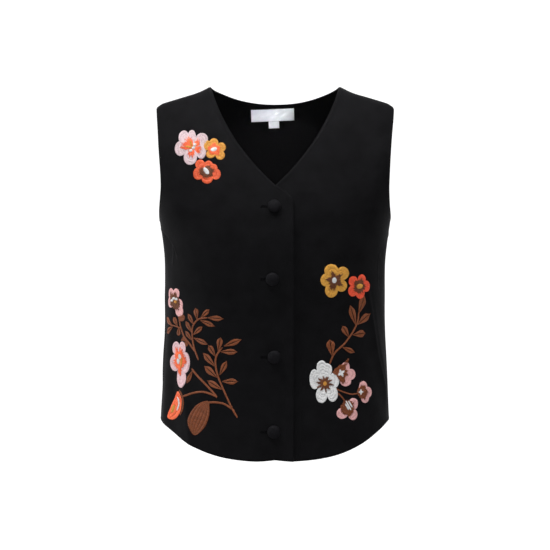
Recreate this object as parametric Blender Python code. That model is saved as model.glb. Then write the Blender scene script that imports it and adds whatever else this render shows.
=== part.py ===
"""A sleeveless V-neck waistcoat, filled out as if worn: two fronts, a back, buttons and labels.

The wearer's right front laps over the left one and four covered buttons close it. Metres, +Z up,
front towards -Y. The origin lies midway between the neck ends of the two shoulder seams.
Angles run round the body from the centre front (0) past the side seam (90) to the centre back.
"""

import math

import bmesh
import bpy
import numpy as np
from mathutils import Vector

# Cloth
CLOTH = 0.0016  # outer cloth and its lining, one wall
SEAM_GAP = 0.0003  # between two panels at a seam
LAP_GAP = 0.0004  # between the lapped fronts
CLOTH_COLOUR = (0.012, 0.012, 0.014)
CLOTH_ROUGHNESS = 0.85

# Shoulders
NECK_HALF = 0.0972  # centre to the neck end of a shoulder seam
TIP_HALF = 0.1785  # centre to the shoulder tip
SHOULDER_SLOPE = 0.31  # fall of the seam for each metre outwards
TIP_ROLL = 0.005  # extra fall where the cloth rolls over the tip
TIP_ROLL_START = 0.166
FRONT_ROUND = 0.080  # height over which the front curves back to the shoulder seam
BACK_ROUND = 0.065

# Neck
V_BOTTOM = -0.147
V_BOW = (0.071, -0.084)  # control point that bows the V outwards
BACK_NECK_DROP = 0.020
BACK_NECK_ROUND = 2.2  # power of the back neck's curve

# Armholes
UNDERARM = -0.197
UNDERARM_HALF = 0.1723
ARMHOLE_WAIST = -0.150  # height where the panels are narrowest between the armholes
ARMHOLE_BEND = 1.5  # power of the edge's curve away from there
ACROSS_FRONT = 0.1676  # half the width there

# Lap
LAP_EDGE = 0.0265  # centre to either front's own edge
LAP_CORNER = -0.176  # where the rounded top corner meets the straight edge
LAP_SHOULDERS = ((-0.0265, -0.163), (-0.017, -0.157))  # control points of that corner
LAP_SHELF = 0.002  # the upper front stays up this far past the lower one's edge
LAP_BLEND = 0.034  # width over which the upper front rises on to the lower one

# Hem
FRONT_HEM = -0.548
SIDE_HEM = -0.4963
BACK_HEM = -0.526
HEM_REACH = 0.92  # share of the way to the side seam where the hem levels out
HEM_SWING = 1.3
CENTRE_NOTCH = 0.0026
NOTCH_HALF = 0.030
NOTCH_BEND = 1.5

# Buttons
BUTTON_X = -0.001
BUTTON_TOP = -0.179
BUTTON_PITCH = 0.1085
BUTTON_COUNT = 4
BUTTON_GAP = 0.0005
BUTTON_SIDES = 20
BUTTON_COLUMNS = ("radius", "height")
BUTTON_PROFILE = (
    (0.0080, 0.0000),
    (0.0093, 0.0007),
    (0.0095, 0.0018),
    (0.0085, 0.0034),
    (0.0062, 0.0047),
    (0.0032, 0.0054),
)
BUTTON_CROWN = 0.0056

# Labels
LABEL_CLOTH = 0.0010  # woven band, folded double
LABEL_GAP = 0.0007
LABEL_WIDTH = 0.068
LABEL_HEIGHT = 0.0188
LABEL_X = -0.004
LABEL_TOP = -0.0247
LABEL_TILT = math.radians(2.2)
TAB_WIDTH = 0.0172
TAB_HEIGHT = 0.0118
TAB_X = -0.0025
LABEL_COLOUR = (0.80, 0.80, 0.83)
LABEL_ROUGHNESS = 0.7

# The form at each height. Square is the power of the section's curve: 2 is an ellipse.
SECTION_COLUMNS = ("height", "half_width", "front", "back", "square")
SECTIONS = (
    (-0.555, 0.1716, 0.1080, 0.1010, 2.20),
    (-0.500, 0.1706, 0.1068, 0.0980, 2.20),
    (-0.450, 0.1688, 0.1062, 0.0940, 2.20),
    (-0.400, 0.1667, 0.1075, 0.0905, 2.20),
    (-0.360, 0.1652, 0.1100, 0.0890, 2.22),
    (-0.320, 0.1646, 0.1140, 0.0905, 2.25),
    (-0.280, 0.1649, 0.1182, 0.0940, 2.32),
    (-0.245, 0.1665, 0.1200, 0.0970, 2.42),
    (-0.215, 0.1695, 0.1185, 0.0990, 2.52),
    (-0.197, 0.1723, 0.1160, 0.1000, 2.58),
    (-0.190, 0.1738, 0.1148, 0.1000, 2.60),
    (-0.175, 0.1785, 0.1112, 0.1000, 2.60),
    (-0.150, 0.1875, 0.1035, 0.0985, 2.60),
    (-0.120, 0.1940, 0.0935, 0.0950, 2.60),
    (-0.090, 0.1980, 0.0825, 0.0885, 2.60),
    (-0.060, 0.2010, 0.0720, 0.0800, 2.60),
    (-0.028, 0.2010, 0.0620, 0.0700, 2.60),
    (0.010, 0.2000, 0.0540, 0.0610, 2.60),
)

# Soft folds from one point to another, angles in degrees. Hand is -1 on the wearer's right.
# Hollow is the side on which the cloth sinks: +1 away from the centre front.
FOLD_COLUMNS = ("hand", "angle_1", "height_1", "angle_2", "height_2", "width", "ridge", "hollow")
FOLDS = (
    (-1, 88, -0.214, 55, -0.264, 0.011, 0.0036, -1),
    (+1, 88, -0.218, 62, -0.262, 0.011, 0.0030, -1),
    (+1, 55, -0.300, 80, -0.480, 0.013, 0.0034, -1),
    (-1, 54, -0.410, 46, -0.565, 0.014, 0.0026, +1),
    (-1, 66, -0.290, 74, -0.520, 0.015, 0.0022, -1),
    (+1, 128, -0.250, 136, -0.500, 0.016, 0.0034, +1),
    (-1, 130, -0.280, 139, -0.520, 0.016, 0.0030, +1),
)
FOLD_GIRTH = 0.86  # a section's mean radius, as a share of its half width
HOLLOW_DEPTH = 0.5  # of the ridge's height
HOLLOW_OFFSET = 1.7  # in fold widths from the ridge
FOLD_ENDS = 4  # a fold fades over the first and last 1/FOLD_ENDS of its length
FOLD_START = 0.25  # share of the fade that its ends already have

# Cells across each panel and up it, below and above the underarm
FRONT_ACROSS = 16
BACK_ACROSS = 26
BACK_SHOULDER = 6
ROWS_BELOW = 14
ROWS_ABOVE = 20
SIDE_CROWDING = 1.15  # cells narrow towards the side seams
LABEL_ACROSS = 8
LABEL_ROWS = 3
SURFACE_STEP = 0.002  # distance over which a surface's slope is read
SHARP_ANGLE = math.radians(40)
LINE_STEPS = 400
QUARTER = math.pi / 2
PAST_SIDE = 1e-7  # a point of the back that lies on the side seam is this far past it


def smooth(t):
    """A soft step from 0 to 1."""
    t = np.clip(t, 0, 1)
    return t * t * (3 - 2 * t)


def section(column, height):
    """A column of the section table at any height, through smooth cubic spans."""
    table = np.array(SECTIONS)
    knots = table[:, 0]
    values = table[:, SECTION_COLUMNS.index(column)]
    slopes = np.gradient(values, knots)
    height = np.clip(height, knots[0], knots[-1])
    low = np.clip(np.searchsorted(knots, height) - 1, 0, len(knots) - 2)
    span = knots[low + 1] - knots[low]
    t = (height - knots[low]) / span
    from_low = (1 + 2 * t) * (1 - t) ** 2 * values[low] + t * (1 - t) ** 2 * span * slopes[low]
    to_high = t * t * (3 - 2 * t) * values[low + 1] - t * t * (1 - t) * span * slopes[low + 1]
    return from_low + to_high


def shoulder_line(x):
    """Height of the shoulder seam at a distance from the centre, carried on over the neck."""
    roll = np.clip((np.abs(x) - TIP_ROLL_START) / (TIP_HALF - TIP_ROLL_START), 0, None)
    return -SHOULDER_SLOPE * (np.abs(x) - NECK_HALF) - TIP_ROLL * roll**2


def form(angle, height, hand):
    """Points of the cloth's outer side on the body's form."""
    x = section("half_width", height) * np.sin(angle)
    behind = angle > QUARTER
    depth = np.where(behind, section("back", height), section("front", height))
    power = section("square", height)
    across = np.clip(1 - np.abs(np.sin(angle)) ** power, 0, 1) ** (1 / power)
    rounding = np.where(behind, BACK_ROUND, FRONT_ROUND)
    below = np.clip((shoulder_line(x) - height) / rounding, 0, 1)
    closing = np.sqrt(1 - (1 - below) ** 2)
    y = np.where(behind, 1, -1) * (SEAM_GAP / 2 + depth * across * closing)
    return np.stack([hand * x, y, height + 0 * x], axis=-1)


def angle_at(x, height):
    """Angle round the front at which a point lies this far from the centre."""
    return np.arcsin(np.clip(x / section("half_width", height), -1, 1))


def even_steps(angles, heights, count):
    """The same line on the form, cut into even steps."""
    line = form(angles, heights, 1)
    lengths = np.linalg.norm(np.diff(line, axis=0), axis=1)
    along = np.concatenate([[0], np.cumsum(lengths)])
    at = np.linspace(0, along[-1], count + 1)
    return np.interp(at, along, angles), np.interp(at, along, heights)


def end_to_end(lower, upper):
    """Two lines, each as angles and heights, joined where they meet."""
    return [np.concatenate([low, high[1:]]) for low, high in zip(lower, upper)]


def bezier(points):
    """A curve from the first point to the last, pulled by those between."""
    t = np.linspace(0, 1, LINE_STEPS)[:, None]
    order = len(points) - 1
    curve = np.zeros((LINE_STEPS, 2))
    for k, point in enumerate(points):
        curve += math.comb(order, k) * t**k * (1 - t) ** (order - k) * np.array(point)
    return curve


def hem_line(angle, low):
    """Height of a hem that is lowest at the centre and rises to the side seam."""
    share = np.clip(np.abs(angle) / (QUARTER * HEM_REACH), 0, 1) ** HEM_SWING
    return low + (SIDE_HEM - low) * (1 - np.cos(math.pi * share)) / 2


def front_hem(angle):
    """The front's hem, with the small notch where the two rounded points meet."""
    x = np.abs(section("half_width", FRONT_HEM) * np.sin(angle))
    notch = CENTRE_NOTCH * np.clip(1 - x / NOTCH_HALF, 0, 1) ** NOTCH_BEND
    return hem_line(angle, FRONT_HEM) + notch


def side_line(behind):
    """Side seam and armhole edge, from the hem to the shoulder tip."""
    turn = QUARTER + PAST_SIDE if behind else QUARTER
    heights = np.linspace(SIDE_HEM, UNDERARM, LINE_STEPS)
    seam = even_steps(np.full(LINE_STEPS, turn), heights, ROWS_BELOW)
    tip = float(shoulder_line(TIP_HALF))
    swing = (1 - np.cos(np.linspace(0, math.pi, LINE_STEPS))) / 2
    heights = UNDERARM + (tip - UNDERARM) * swing
    above = np.clip((heights - ARMHOLE_WAIST) / (tip - ARMHOLE_WAIST), 0, 1)
    below = np.clip((ARMHOLE_WAIST - heights) / (ARMHOLE_WAIST - UNDERARM), 0, 1)
    edge = ACROSS_FRONT + (TIP_HALF - ACROSS_FRONT) * above**ARMHOLE_BEND
    edge = edge + (UNDERARM_HALF - ACROSS_FRONT) * below**ARMHOLE_BEND
    angles = angle_at(edge, heights)
    if behind:
        angles = math.pi - angles + PAST_SIDE
    return end_to_end(seam, even_steps(angles, heights, ROWS_ABOVE))


def front_line():
    """A front's own edge: up the lap, round its top corner and along the V to the shoulder."""
    low = float(front_hem(angle_at(LAP_EDGE, FRONT_HEM)))
    heights = np.linspace(low, UNDERARM, LINE_STEPS)
    straight = even_steps(angle_at(-LAP_EDGE, heights), heights, ROWS_BELOW)
    corner = bezier([(-LAP_EDGE, LAP_CORNER), *LAP_SHOULDERS, (0, V_BOTTOM)])
    neck = bezier([(0, V_BOTTOM), V_BOW, (NECK_HALF, 0)])
    line = np.concatenate([[(-LAP_EDGE, UNDERARM)], corner, neck[1:]])
    angles = angle_at(line[:, 0], line[:, 1])
    return end_to_end(straight, even_steps(angles, line[:, 1], ROWS_ABOVE))


def between(start, end, hem, top, share):
    """Grid of angles and heights between four edge lines: rows go up, columns across."""
    up = np.linspace(0, 1, len(start[0]))[:, None]
    grid = []
    for left, right, low, high in zip(start, end, hem, top):
        straight = left[:, None] + (right - left)[:, None] * share
        hem_bow = low - (low[0] + (low[-1] - low[0]) * share)
        top_bow = high - (high[0] + (high[-1] - high[0]) * share)
        grid.append(straight + (1 - up) ** 2 * hem_bow + up**2 * top_bow)
    return grid


def fold_lift(angle, height, hand):
    """How far the folds push the cloth out at each point."""
    lift = np.zeros_like(angle)
    for row in FOLDS:
        fold = dict(zip(FOLD_COLUMNS, row))
        girth = section("half_width", height) * FOLD_GIRTH
        run = np.radians(fold["angle_2"] - fold["angle_1"]) * girth
        fall = fold["height_1"] - fold["height_2"]
        right = (angle - np.radians(fold["angle_1"])) * girth
        down = fold["height_1"] - height
        length = np.hypot(run, fall)
        along = (right * run + down * fall) / length**2
        off = (right * fall - down * run) / length / fold["width"] * fold["hollow"]
        fade = smooth(FOLD_ENDS * np.minimum(along, 1 - along) + FOLD_START)
        crest = np.exp(-(off**2)) - HOLLOW_DEPTH * np.exp(-((off - HOLLOW_OFFSET) ** 2))
        lift += np.where(fold["hand"] == hand, fold["ridge"] * fade * crest, 0)
    return lift


def outward(points, hand):
    """Unit normals of a grid of points, away from the body."""
    up = np.gradient(points, axis=0)
    across = np.gradient(points, axis=1)
    normal = np.cross(across, up) * hand
    return normal / np.linalg.norm(normal, axis=-1, keepdims=True)


def square_to_seam(normal, rows, columns):
    """Turns the normals along a seam, so that the two panels meet there flush."""
    flat = normal[rows, columns] * (1, 0, 1)
    normal[rows, columns] = flat / np.linalg.norm(flat, axis=-1, keepdims=True)


def lap_lift(x):
    """How far the upper front rises, at a distance past the centre on its own side."""
    full = LAP_EDGE + LAP_SHELF
    return (CLOTH + LAP_GAP) * smooth((x + full + LAP_BLEND) / LAP_BLEND)


def finished(name, bm, colour, roughness):
    """The object of a bmesh, with its material."""
    bmesh.ops.recalc_face_normals(bm, faces=bm.faces)
    mesh = bpy.data.meshes.new(name)
    bm.to_mesh(mesh)
    bm.free()
    mesh.shade_smooth()
    mesh.set_sharp_from_angle(angle=SHARP_ANGLE)
    material = bpy.data.materials.new(name)
    material.use_nodes = True
    shader = material.node_tree.nodes["Principled BSDF"]
    shader.inputs["Base Color"].default_value = (*colour, 1)
    shader.inputs["Roughness"].default_value = roughness
    mesh.materials.append(material)
    obj = bpy.data.objects.new(name, mesh)
    bpy.context.scene.collection.objects.link(obj)
    return obj


def wall(name, outer, inner, colour, roughness):
    """A closed solid between an outer and an inner grid of points."""
    rows, columns = outer.shape[:2]
    bm = bmesh.new()
    out = [[bm.verts.new(point) for point in row] for row in outer]
    ins = [[bm.verts.new(point) for point in row] for row in inner]
    for side in (out, ins):
        for low, high in zip(side, side[1:]):
            for c in range(columns - 1):
                bm.faces.new((low[c], low[c + 1], high[c + 1], high[c]))
    rim = [(0, c) for c in range(columns - 1)]
    rim += [(r, columns - 1) for r in range(rows - 1)]
    rim += [(rows - 1, c) for c in range(columns - 1, 0, -1)]
    rim += [(r, 0) for r in range(rows - 1, 0, -1)]
    for (r1, c1), (r2, c2) in zip(rim, rim[1:] + rim[:1]):
        bm.faces.new((out[r1][c1], ins[r1][c1], ins[r2][c2], out[r2][c2]))
    return finished(name, bm, colour, roughness)


def front_panel(name, hand, laps_over):
    """One front, from its own edge to the side seam and from the hem to the shoulder seam."""
    start = front_line()
    end = side_line(behind=False)
    share = 1 - (1 - np.linspace(0, 1, FRONT_ACROSS + 1)) ** SIDE_CROWDING
    hem_angles = start[0][0] + (end[0][0] - start[0][0]) * share
    seam_x = NECK_HALF + (TIP_HALF - NECK_HALF) * share
    top = (angle_at(seam_x, shoulder_line(seam_x)), shoulder_line(seam_x))
    angle, height = between(start, end, (hem_angles, front_hem(hem_angles)), top, share)
    base = form(angle, height, hand)
    normal = outward(base, hand)
    square_to_seam(normal, slice(0, ROWS_BELOW + 1), -1)
    square_to_seam(normal, -1, slice(None))
    lift = fold_lift(angle, height, hand)
    if laps_over:
        lift = lift + lap_lift(base[..., 0])
    outer = base + normal * lift[..., None]
    return wall(name, outer, outer - CLOTH * normal, CLOTH_COLOUR, CLOTH_ROUGHNESS)


def back_panel(name):
    """The back in one piece from side seam to side seam, its neck cut from the top edge."""
    left = side_line(behind=True)
    right = (2 * math.pi - left[0], left[1])
    reach = np.linspace(-1, 1, BACK_ACROSS + 1)
    share = 0.5 + 0.5 * np.sign(reach) * (1 - (1 - np.abs(reach)) ** SIDE_CROWDING)
    hem_angles = left[0][0] + (right[0][0] - left[0][0]) * share
    hem = (hem_angles, hem_line(hem_angles - math.pi, BACK_HEM))
    corners = (0, BACK_SHOULDER, BACK_ACROSS - BACK_SHOULDER, BACK_ACROSS)
    top_x = np.interp(
        np.arange(BACK_ACROSS + 1), corners, (TIP_HALF, NECK_HALF, -NECK_HALF, -TIP_HALF)
    )
    dip = 1 - np.clip(np.abs(top_x) / NECK_HALF, 0, 1) ** BACK_NECK_ROUND
    top_height = np.where(dip > 0, -BACK_NECK_DROP * dip, shoulder_line(top_x))
    top = (math.pi - angle_at(top_x, top_height), top_height)
    angle, height = between(left, right, hem, top, share)
    base = form(angle, height, 1)
    normal = outward(base, 1)
    for side in (0, -1):
        square_to_seam(normal, slice(0, ROWS_BELOW + 1), side)
    square_to_seam(normal, -1, slice(0, BACK_SHOULDER + 1))
    square_to_seam(normal, -1, slice(-BACK_SHOULDER - 1, None))
    lift = fold_lift(angle, height, 1) + fold_lift(2 * math.pi - angle, height, -1)
    outer = base + normal * lift[..., None]
    return wall(name, outer, outer - CLOTH * normal, CLOTH_COLOUR, CLOTH_ROUGHNESS)


def held_off(x, height, hand, lift):
    """A point held off the form by a distance, and the way the form faces there."""

    def at(right, up):
        level = np.array(height + up)
        return form(angle_at(x + right, level), level, hand)

    across = at(SURFACE_STEP, 0) - at(-SURFACE_STEP, 0)
    up = at(0, SURFACE_STEP) - at(0, -SURFACE_STEP)
    normal = np.cross(across, up) * hand
    normal = normal / np.linalg.norm(normal)
    return at(0, 0) + normal * lift, normal


def button_mesh():
    """A domed button covered in the waistcoat's cloth, turned about +Z on its flat base."""
    bm = bmesh.new()
    turns = np.linspace(0, 2 * math.pi, BUTTON_SIDES, endpoint=False)
    rings = []
    for row in BUTTON_PROFILE:
        ring = dict(zip(BUTTON_COLUMNS, row))
        circle = [(math.cos(t) * ring["radius"], math.sin(t) * ring["radius"]) for t in turns]
        rings.append([bm.verts.new((x, y, ring["height"])) for x, y in circle])
    bm.faces.new(rings[0][::-1])
    for low, high in zip(rings, rings[1:]):
        for k in range(BUTTON_SIDES):
            bm.faces.new((low[k - 1], low[k], high[k], high[k - 1]))
    crown = bm.verts.new((0, 0, BUTTON_CROWN))
    for k in range(BUTTON_SIDES):
        bm.faces.new((rings[-1][k - 1], rings[-1][k], crown))
    return bm


def buttons():
    """The four buttons, down the centre of the lap."""
    over_lap = CLOTH + LAP_GAP + BUTTON_GAP
    for k in range(BUTTON_COUNT):
        height = BUTTON_TOP - BUTTON_PITCH * k
        place, normal = held_off(-BUTTON_X, height, -1, over_lap)
        button = finished(f"button_{k + 1}", button_mesh(), CLOTH_COLOUR, CLOTH_ROUGHNESS)
        button.location = place
        button.rotation_euler = Vector(normal).to_track_quat("Z", "Y").to_euler()


def label(name, right, drop, width, height):
    """A woven band on the inside of the back neck, this far from the label's top centre."""
    across = right + np.linspace(-0.5, 0.5, LABEL_ACROSS + 1)[None, :] * width
    down = drop + np.linspace(1, 0, LABEL_ROWS + 1)[:, None] * height
    x = LABEL_X + across * math.cos(LABEL_TILT) + down * math.sin(LABEL_TILT)
    z = LABEL_TOP + across * math.sin(LABEL_TILT) - down * math.cos(LABEL_TILT)
    base = form(math.pi - angle_at(x, z), z, 1)
    normal = -outward(base, 1)
    outer = base - normal * (CLOTH + LABEL_GAP)
    return wall(name, outer, outer - LABEL_CLOTH * normal, LABEL_COLOUR, LABEL_ROUGHNESS)


def main():
    """Clears the scene and builds the waistcoat."""
    for obj in list(bpy.data.objects):
        bpy.data.objects.remove(obj)
    front_panel("right_front", -1, laps_over=True)
    front_panel("left_front", 1, laps_over=False)
    back_panel("back")
    buttons()
    label("neck_label", 0, 0, LABEL_WIDTH, LABEL_HEIGHT)
    label("size_tab", TAB_X - LABEL_X, LABEL_HEIGHT + SEAM_GAP, TAB_WIDTH, TAB_HEIGHT)


main()
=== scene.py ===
import math

import bmesh
import bpy
import numpy as np
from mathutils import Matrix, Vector


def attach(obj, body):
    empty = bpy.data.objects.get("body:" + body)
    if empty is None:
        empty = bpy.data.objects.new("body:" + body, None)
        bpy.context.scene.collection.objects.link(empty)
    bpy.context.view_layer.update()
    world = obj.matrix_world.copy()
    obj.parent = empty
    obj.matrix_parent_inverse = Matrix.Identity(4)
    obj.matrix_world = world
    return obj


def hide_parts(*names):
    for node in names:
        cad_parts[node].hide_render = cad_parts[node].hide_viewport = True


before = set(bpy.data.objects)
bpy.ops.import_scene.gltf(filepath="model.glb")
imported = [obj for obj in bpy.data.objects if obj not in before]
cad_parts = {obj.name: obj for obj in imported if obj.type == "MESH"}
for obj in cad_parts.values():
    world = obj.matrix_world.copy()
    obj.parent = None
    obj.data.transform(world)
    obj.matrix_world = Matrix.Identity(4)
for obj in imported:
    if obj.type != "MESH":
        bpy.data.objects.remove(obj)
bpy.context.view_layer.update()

# The right front, which laps over. Black plain-weave cloth with a faint sheen and a black lining,
# turned in along its lap, neck, armhole and hem, and shaped by a bust dart. The lining is darker
# than the cloth: partly its own black, partly painted shade for the inside of the waistcoat. The
# folds are those that the body puts into it.
CLOTH = 0.0016
SEAM_GAP = 0.000002
LAP_GAP = 0.0004
NECK_HALF = 0.0958
SHOULDER_START = 0.0972
TIP_HALF = 0.1785
SHOULDER_SLOPE = 0.31
NECK_RISE = 0.0028  # the cloth climbs this much at the neck
NECK_RISE_WIDTH = 0.012
TIP_ROLL = 0.005
TIP_ROLL_START = 0.166
FRONT_ROUND = 0.080
BACK_ROUND = 0.065
V_BOTTOM = -0.1492
V_BOW = (0.071, -0.084)
UNDERARM = -0.197
UNDERARM_HALF = 0.1723
ARMHOLE_WAIST = -0.150
ARMHOLE_BEND = 1.5
ACROSS_FRONT = 0.1676
LAP_EDGE = 0.0265
LAP_CORNER = -0.178
LAP_SHOULDERS = ((-0.0265, -0.165), (-0.017, -0.159))
LAP_SHELF = 0.002
LAP_BLEND = 0.034
LAP_CURL = 0.0026  # the lap's free edge stands off this much more
LAP_CURL_WIDTH = 0.012
LAP_CURL_TOP = -0.150
LAP_CURL_FADE = 0.018
FRONT_HEM = -0.548
SIDE_HEM = -0.4963
HEM_REACH = 0.94
HEM_SWING = 1.345
CENTRE_NOTCH = 0.0026
NOTCH_HALF = 0.030
NOTCH_BEND = 1.5
QUARTER = math.pi / 2
LINE_STEPS = 700
ROWS_BELOW = 130
ROWS_ABOVE = 110
FRONT_ACROSS = 132
SIDE_CROWDING = 1.15
RIM_STEPS = 6  # round the turned edge, from the outer side to the lining
EDGE_ROLL = 0.0006  # the cloth sinks this much into a turned edge
EDGE_ROLL_WIDTH = 0.006
EDGE_RIDGE = 0.0005
EDGE_RIDGE_PLACE = 0.0036
EDGE_RIDGE_WIDTH = 0.0017
ARMHOLE_STAND = 0.010  # the front stands this far forward of the body beside the armhole
ARMHOLE_STAND_START = 0.105
STAND_BELOW = 0.030
STAND_RISE = 0.050
STAND_TOP = -0.062
STAND_FALL = 0.045
STAND_SEAM = 0.02  # up to this far above the underarm the stand fades towards the side seam
STAND_SEAM_TURN = 0.20
UNDERARM_EVEN = 0.001
UNDERARM_FADE = 0.016
FRONT_MIDDLE = 1.2  # the angle within which a front has no underarm

# The body's form at each height. Square is the power of the section's curve.
SECTION_COLUMNS = ("height", "half_width", "front", "back", "square")
SECTIONS = np.array((
    (-0.555, 0.1716, 0.1080, 0.1010, 2.20),
    (-0.500, 0.1706, 0.1068, 0.0980, 2.20),
    (-0.450, 0.1688, 0.1062, 0.0940, 2.20),
    (-0.400, 0.1667, 0.1075, 0.0905, 2.20),
    (-0.360, 0.1652, 0.1100, 0.0890, 2.22),
    (-0.320, 0.1646, 0.1140, 0.0905, 2.25),
    (-0.280, 0.1649, 0.1182, 0.0940, 2.32),
    (-0.245, 0.1665, 0.1200, 0.0970, 2.42),
    (-0.215, 0.1695, 0.1185, 0.0990, 2.52),
    (-0.197, 0.1723, 0.1160, 0.1000, 2.58),
    (-0.190, 0.1738, 0.1148, 0.1000, 2.60),
    (-0.175, 0.1785, 0.1112, 0.1000, 2.60),
    (-0.150, 0.1875, 0.1035, 0.0985, 2.60),
    (-0.120, 0.1940, 0.0935, 0.0950, 2.60),
    (-0.090, 0.1980, 0.0825, 0.0885, 2.60),
    (-0.060, 0.2010, 0.0720, 0.0800, 2.60),
    (-0.028, 0.2010, 0.0620, 0.0700, 2.60),
    (0.010, 0.2000, 0.0540, 0.0610, 2.60),
))

# Soft folds, from one angle round the body and height to another. Hand is -1 on the wearer's
# right; hollow is the side on which the cloth sinks.
FOLD_COLUMNS = ("hand", "angle_1", "height_1", "angle_2", "height_2", "width", "ridge", "hollow")
FOLDS = (
    (+1, 55, -0.300, 80, -0.480, 0.013, 0.0014, -1),
    (-1, 54, -0.410, 46, -0.565, 0.014, 0.0018, +1),
    (-1, 66, -0.290, 74, -0.520, 0.015, 0.0016, -1),
    (+1, 128, -0.250, 136, -0.500, 0.016, 0.0034, +1),
    (-1, 130, -0.280, 139, -0.520, 0.016, 0.0030, +1),
)
FOLD_GIRTH = 0.86
HOLLOW_DEPTH = 0.5
HOLLOW_OFFSET = 1.7
FOLD_ENDS = 4
FOLD_START = 0.25

# Darts and creases, crisper than the folds: hand, width, ridge, groove beside it, drop of the
# cloth past it, and the line that each follows as angles and heights.
CREASES = (
    (
        -1, 0.0016, 0.0006, 0.0, 0.0034, ((92, -0.2085), (84, -0.2108), (77.6, -0.2140), (66.7, -0.2244),
        (62.3, -0.2371), (59.4, -0.2498), (57.9, -0.2577)),
    ),
    (-1, 0.0022, 0.0004, 0.0, 0.0008, ((66.0, -0.2300), (64.6, -0.2480), (64.8, -0.2680))),
    (
        +1, 0.0016, 0.0006, 0.0, 0.0032, ((92, -0.2110), (85.3, -0.2209), (73.7, -0.2363), (66.5, -0.2526),
        (66.6, -0.2760), (68.5, -0.3050)),
    ),
    (
        +1, 0.0030, 0.0008, -0.0004, 0.0, ((55.3, -0.3000), (59.3, -0.3448), (64.2, -0.3921), (68.7, -0.4205),
        (78.4, -0.4720)),
    ),
    (-1, 0.0045, 0.0009, -0.0004, 0.0, ((53.0, -0.4300), (49.0, -0.4829), (46.4, -0.5190), (45.5, -0.5400))),
    (-1, 0.0050, 0.0008, 0.0, 0.0, ((84.0, -0.3000), (82.0, -0.3700), (84.0, -0.4500))),
    (-1, 0.0014, 0.0004, -0.0007, 0.0, ((147, -0.2300), (148, -0.3200), (147, -0.4000), (146, -0.4700))),
    (+1, 0.0014, 0.0004, -0.0007, 0.0, ((147, -0.2300), (148, -0.3200), (147, -0.4000), (146, -0.4700))),
    (-1, 0.0060, 0.0013, -0.0006, 0.0, ((96, -0.2200), (108, -0.2330), (121, -0.2440), (132, -0.2480))),
    (+1, 0.0070, 0.0012, -0.0005, 0.0, ((97, -0.2300), (110, -0.2480), (125, -0.2600))),
    (-1, 0.0080, 0.0010, -0.0005, 0.0, ((160, -0.1000), (150, -0.1350), (140, -0.1550), (128, -0.1650))),
    (+1, 0.0080, 0.0011, -0.0006, 0.0, ((163, -0.0950), (152, -0.1250), (141, -0.1500), (127, -0.1700))),
)
DROP_RETURN = 0.024
DROP_END = 0.012
DROP_SIDE = 1.50  # the angle at which a dart's drop has faded
DROP_SIDE_FADE = 0.22
# How deep the left front hollows beside the lap's edge, by height
LAP_HOLLOW = np.array((
    (-0.548, 0.0024), (-0.520, 0.0024), (-0.480, 0.0034), (-0.420, 0.0046), (-0.365, 0.0056),
    (-0.325, 0.0060), (-0.279, 0.0044), (-0.238, 0.0056), (-0.205, 0.0036), (-0.178, 0.0018), (-0.160, 0.0),
))
LAP_HOLLOW_START = 0.006
LAP_HOLLOW_RISE = 0.020
LAP_HOLLOW_FLOOR = 0.014
LAP_HOLLOW_WIDTH = 0.075
CREASE_ENDS = 5


def smooth(t):
    """A soft step from 0 to 1."""
    t = np.clip(t, 0, 1)
    return t * t * (3 - 2 * t)


def unit(vectors):
    """The same vectors, each of length 1."""
    return vectors / np.linalg.norm(vectors, axis=-1, keepdims=True)


def distances(line):
    """How far along a line each of its points lies."""
    return np.concatenate([[0], np.cumsum(np.linalg.norm(np.diff(line, axis=0), axis=1))])


def section(column, height):
    """A column of the section table at any height, through smooth cubic spans."""
    knots = SECTIONS[:, 0]
    values = SECTIONS[:, SECTION_COLUMNS.index(column)]
    slopes = np.gradient(values, knots)
    height = np.clip(height, knots[0], knots[-1])
    low = np.clip(np.searchsorted(knots, height) - 1, 0, len(knots) - 2)
    span = knots[low + 1] - knots[low]
    t = (height - knots[low]) / span
    from_low = (1 + 2 * t) * (1 - t) ** 2 * values[low] + t * (1 - t) ** 2 * span * slopes[low]
    to_high = t * t * (3 - 2 * t) * values[low + 1] - t * t * (1 - t) * span * slopes[low + 1]
    return from_low + to_high


def shoulder_line(x):
    """Height of the shoulder seam at a distance from the centre."""
    roll = np.clip((np.abs(x) - TIP_ROLL_START) / (TIP_HALF - TIP_ROLL_START), 0, None)
    climb = NECK_RISE * np.exp(-(((np.abs(x) - NECK_HALF) / NECK_RISE_WIDTH) ** 2))
    return climb - SHOULDER_SLOPE * (np.abs(x) - SHOULDER_START) - TIP_ROLL * roll**2


def form(angle, height, hand):
    """Points of the cloth's outer side on the body's form."""
    x = section("half_width", height) * np.sin(angle)
    behind = angle > QUARTER
    depth = np.where(behind, section("back", height), section("front", height))
    power = section("square", height)
    across = np.clip(1 - np.abs(np.sin(angle)) ** power, 0, 1) ** (1 / power)
    rounding = np.where(behind, BACK_ROUND, FRONT_ROUND)
    below = np.clip((shoulder_line(x) - height) / rounding, 0, 1)
    closing = np.sqrt(1 - (1 - below) ** 2)
    y = np.where(behind, 1, -1) * (SEAM_GAP / 2 + depth * across * closing)
    return np.stack([hand * x, y, height + 0 * x], axis=-1)


def front_form(angle, height, hand):
    """The form of a front, which stands forward of the body beside its armhole."""
    points = form(angle, height, hand)
    out = smooth((np.abs(points[..., 0]) - ARMHOLE_STAND_START) / (ACROSS_FRONT - ARMHOLE_STAND_START))
    z = points[..., 2]
    level = smooth((z - UNDERARM + STAND_BELOW) / STAND_RISE) * smooth((STAND_TOP - z) / STAND_FALL)
    level = level * np.where(z < UNDERARM + STAND_SEAM, smooth((QUARTER - angle) / STAND_SEAM_TURN), 1)
    points[..., 1] -= ARMHOLE_STAND * out * level
    return points


def angle_at(x, height):
    """Angle round the front at which a point lies this far from the centre."""
    return np.arcsin(np.clip(x / section("half_width", height), -1, 1))


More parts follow.
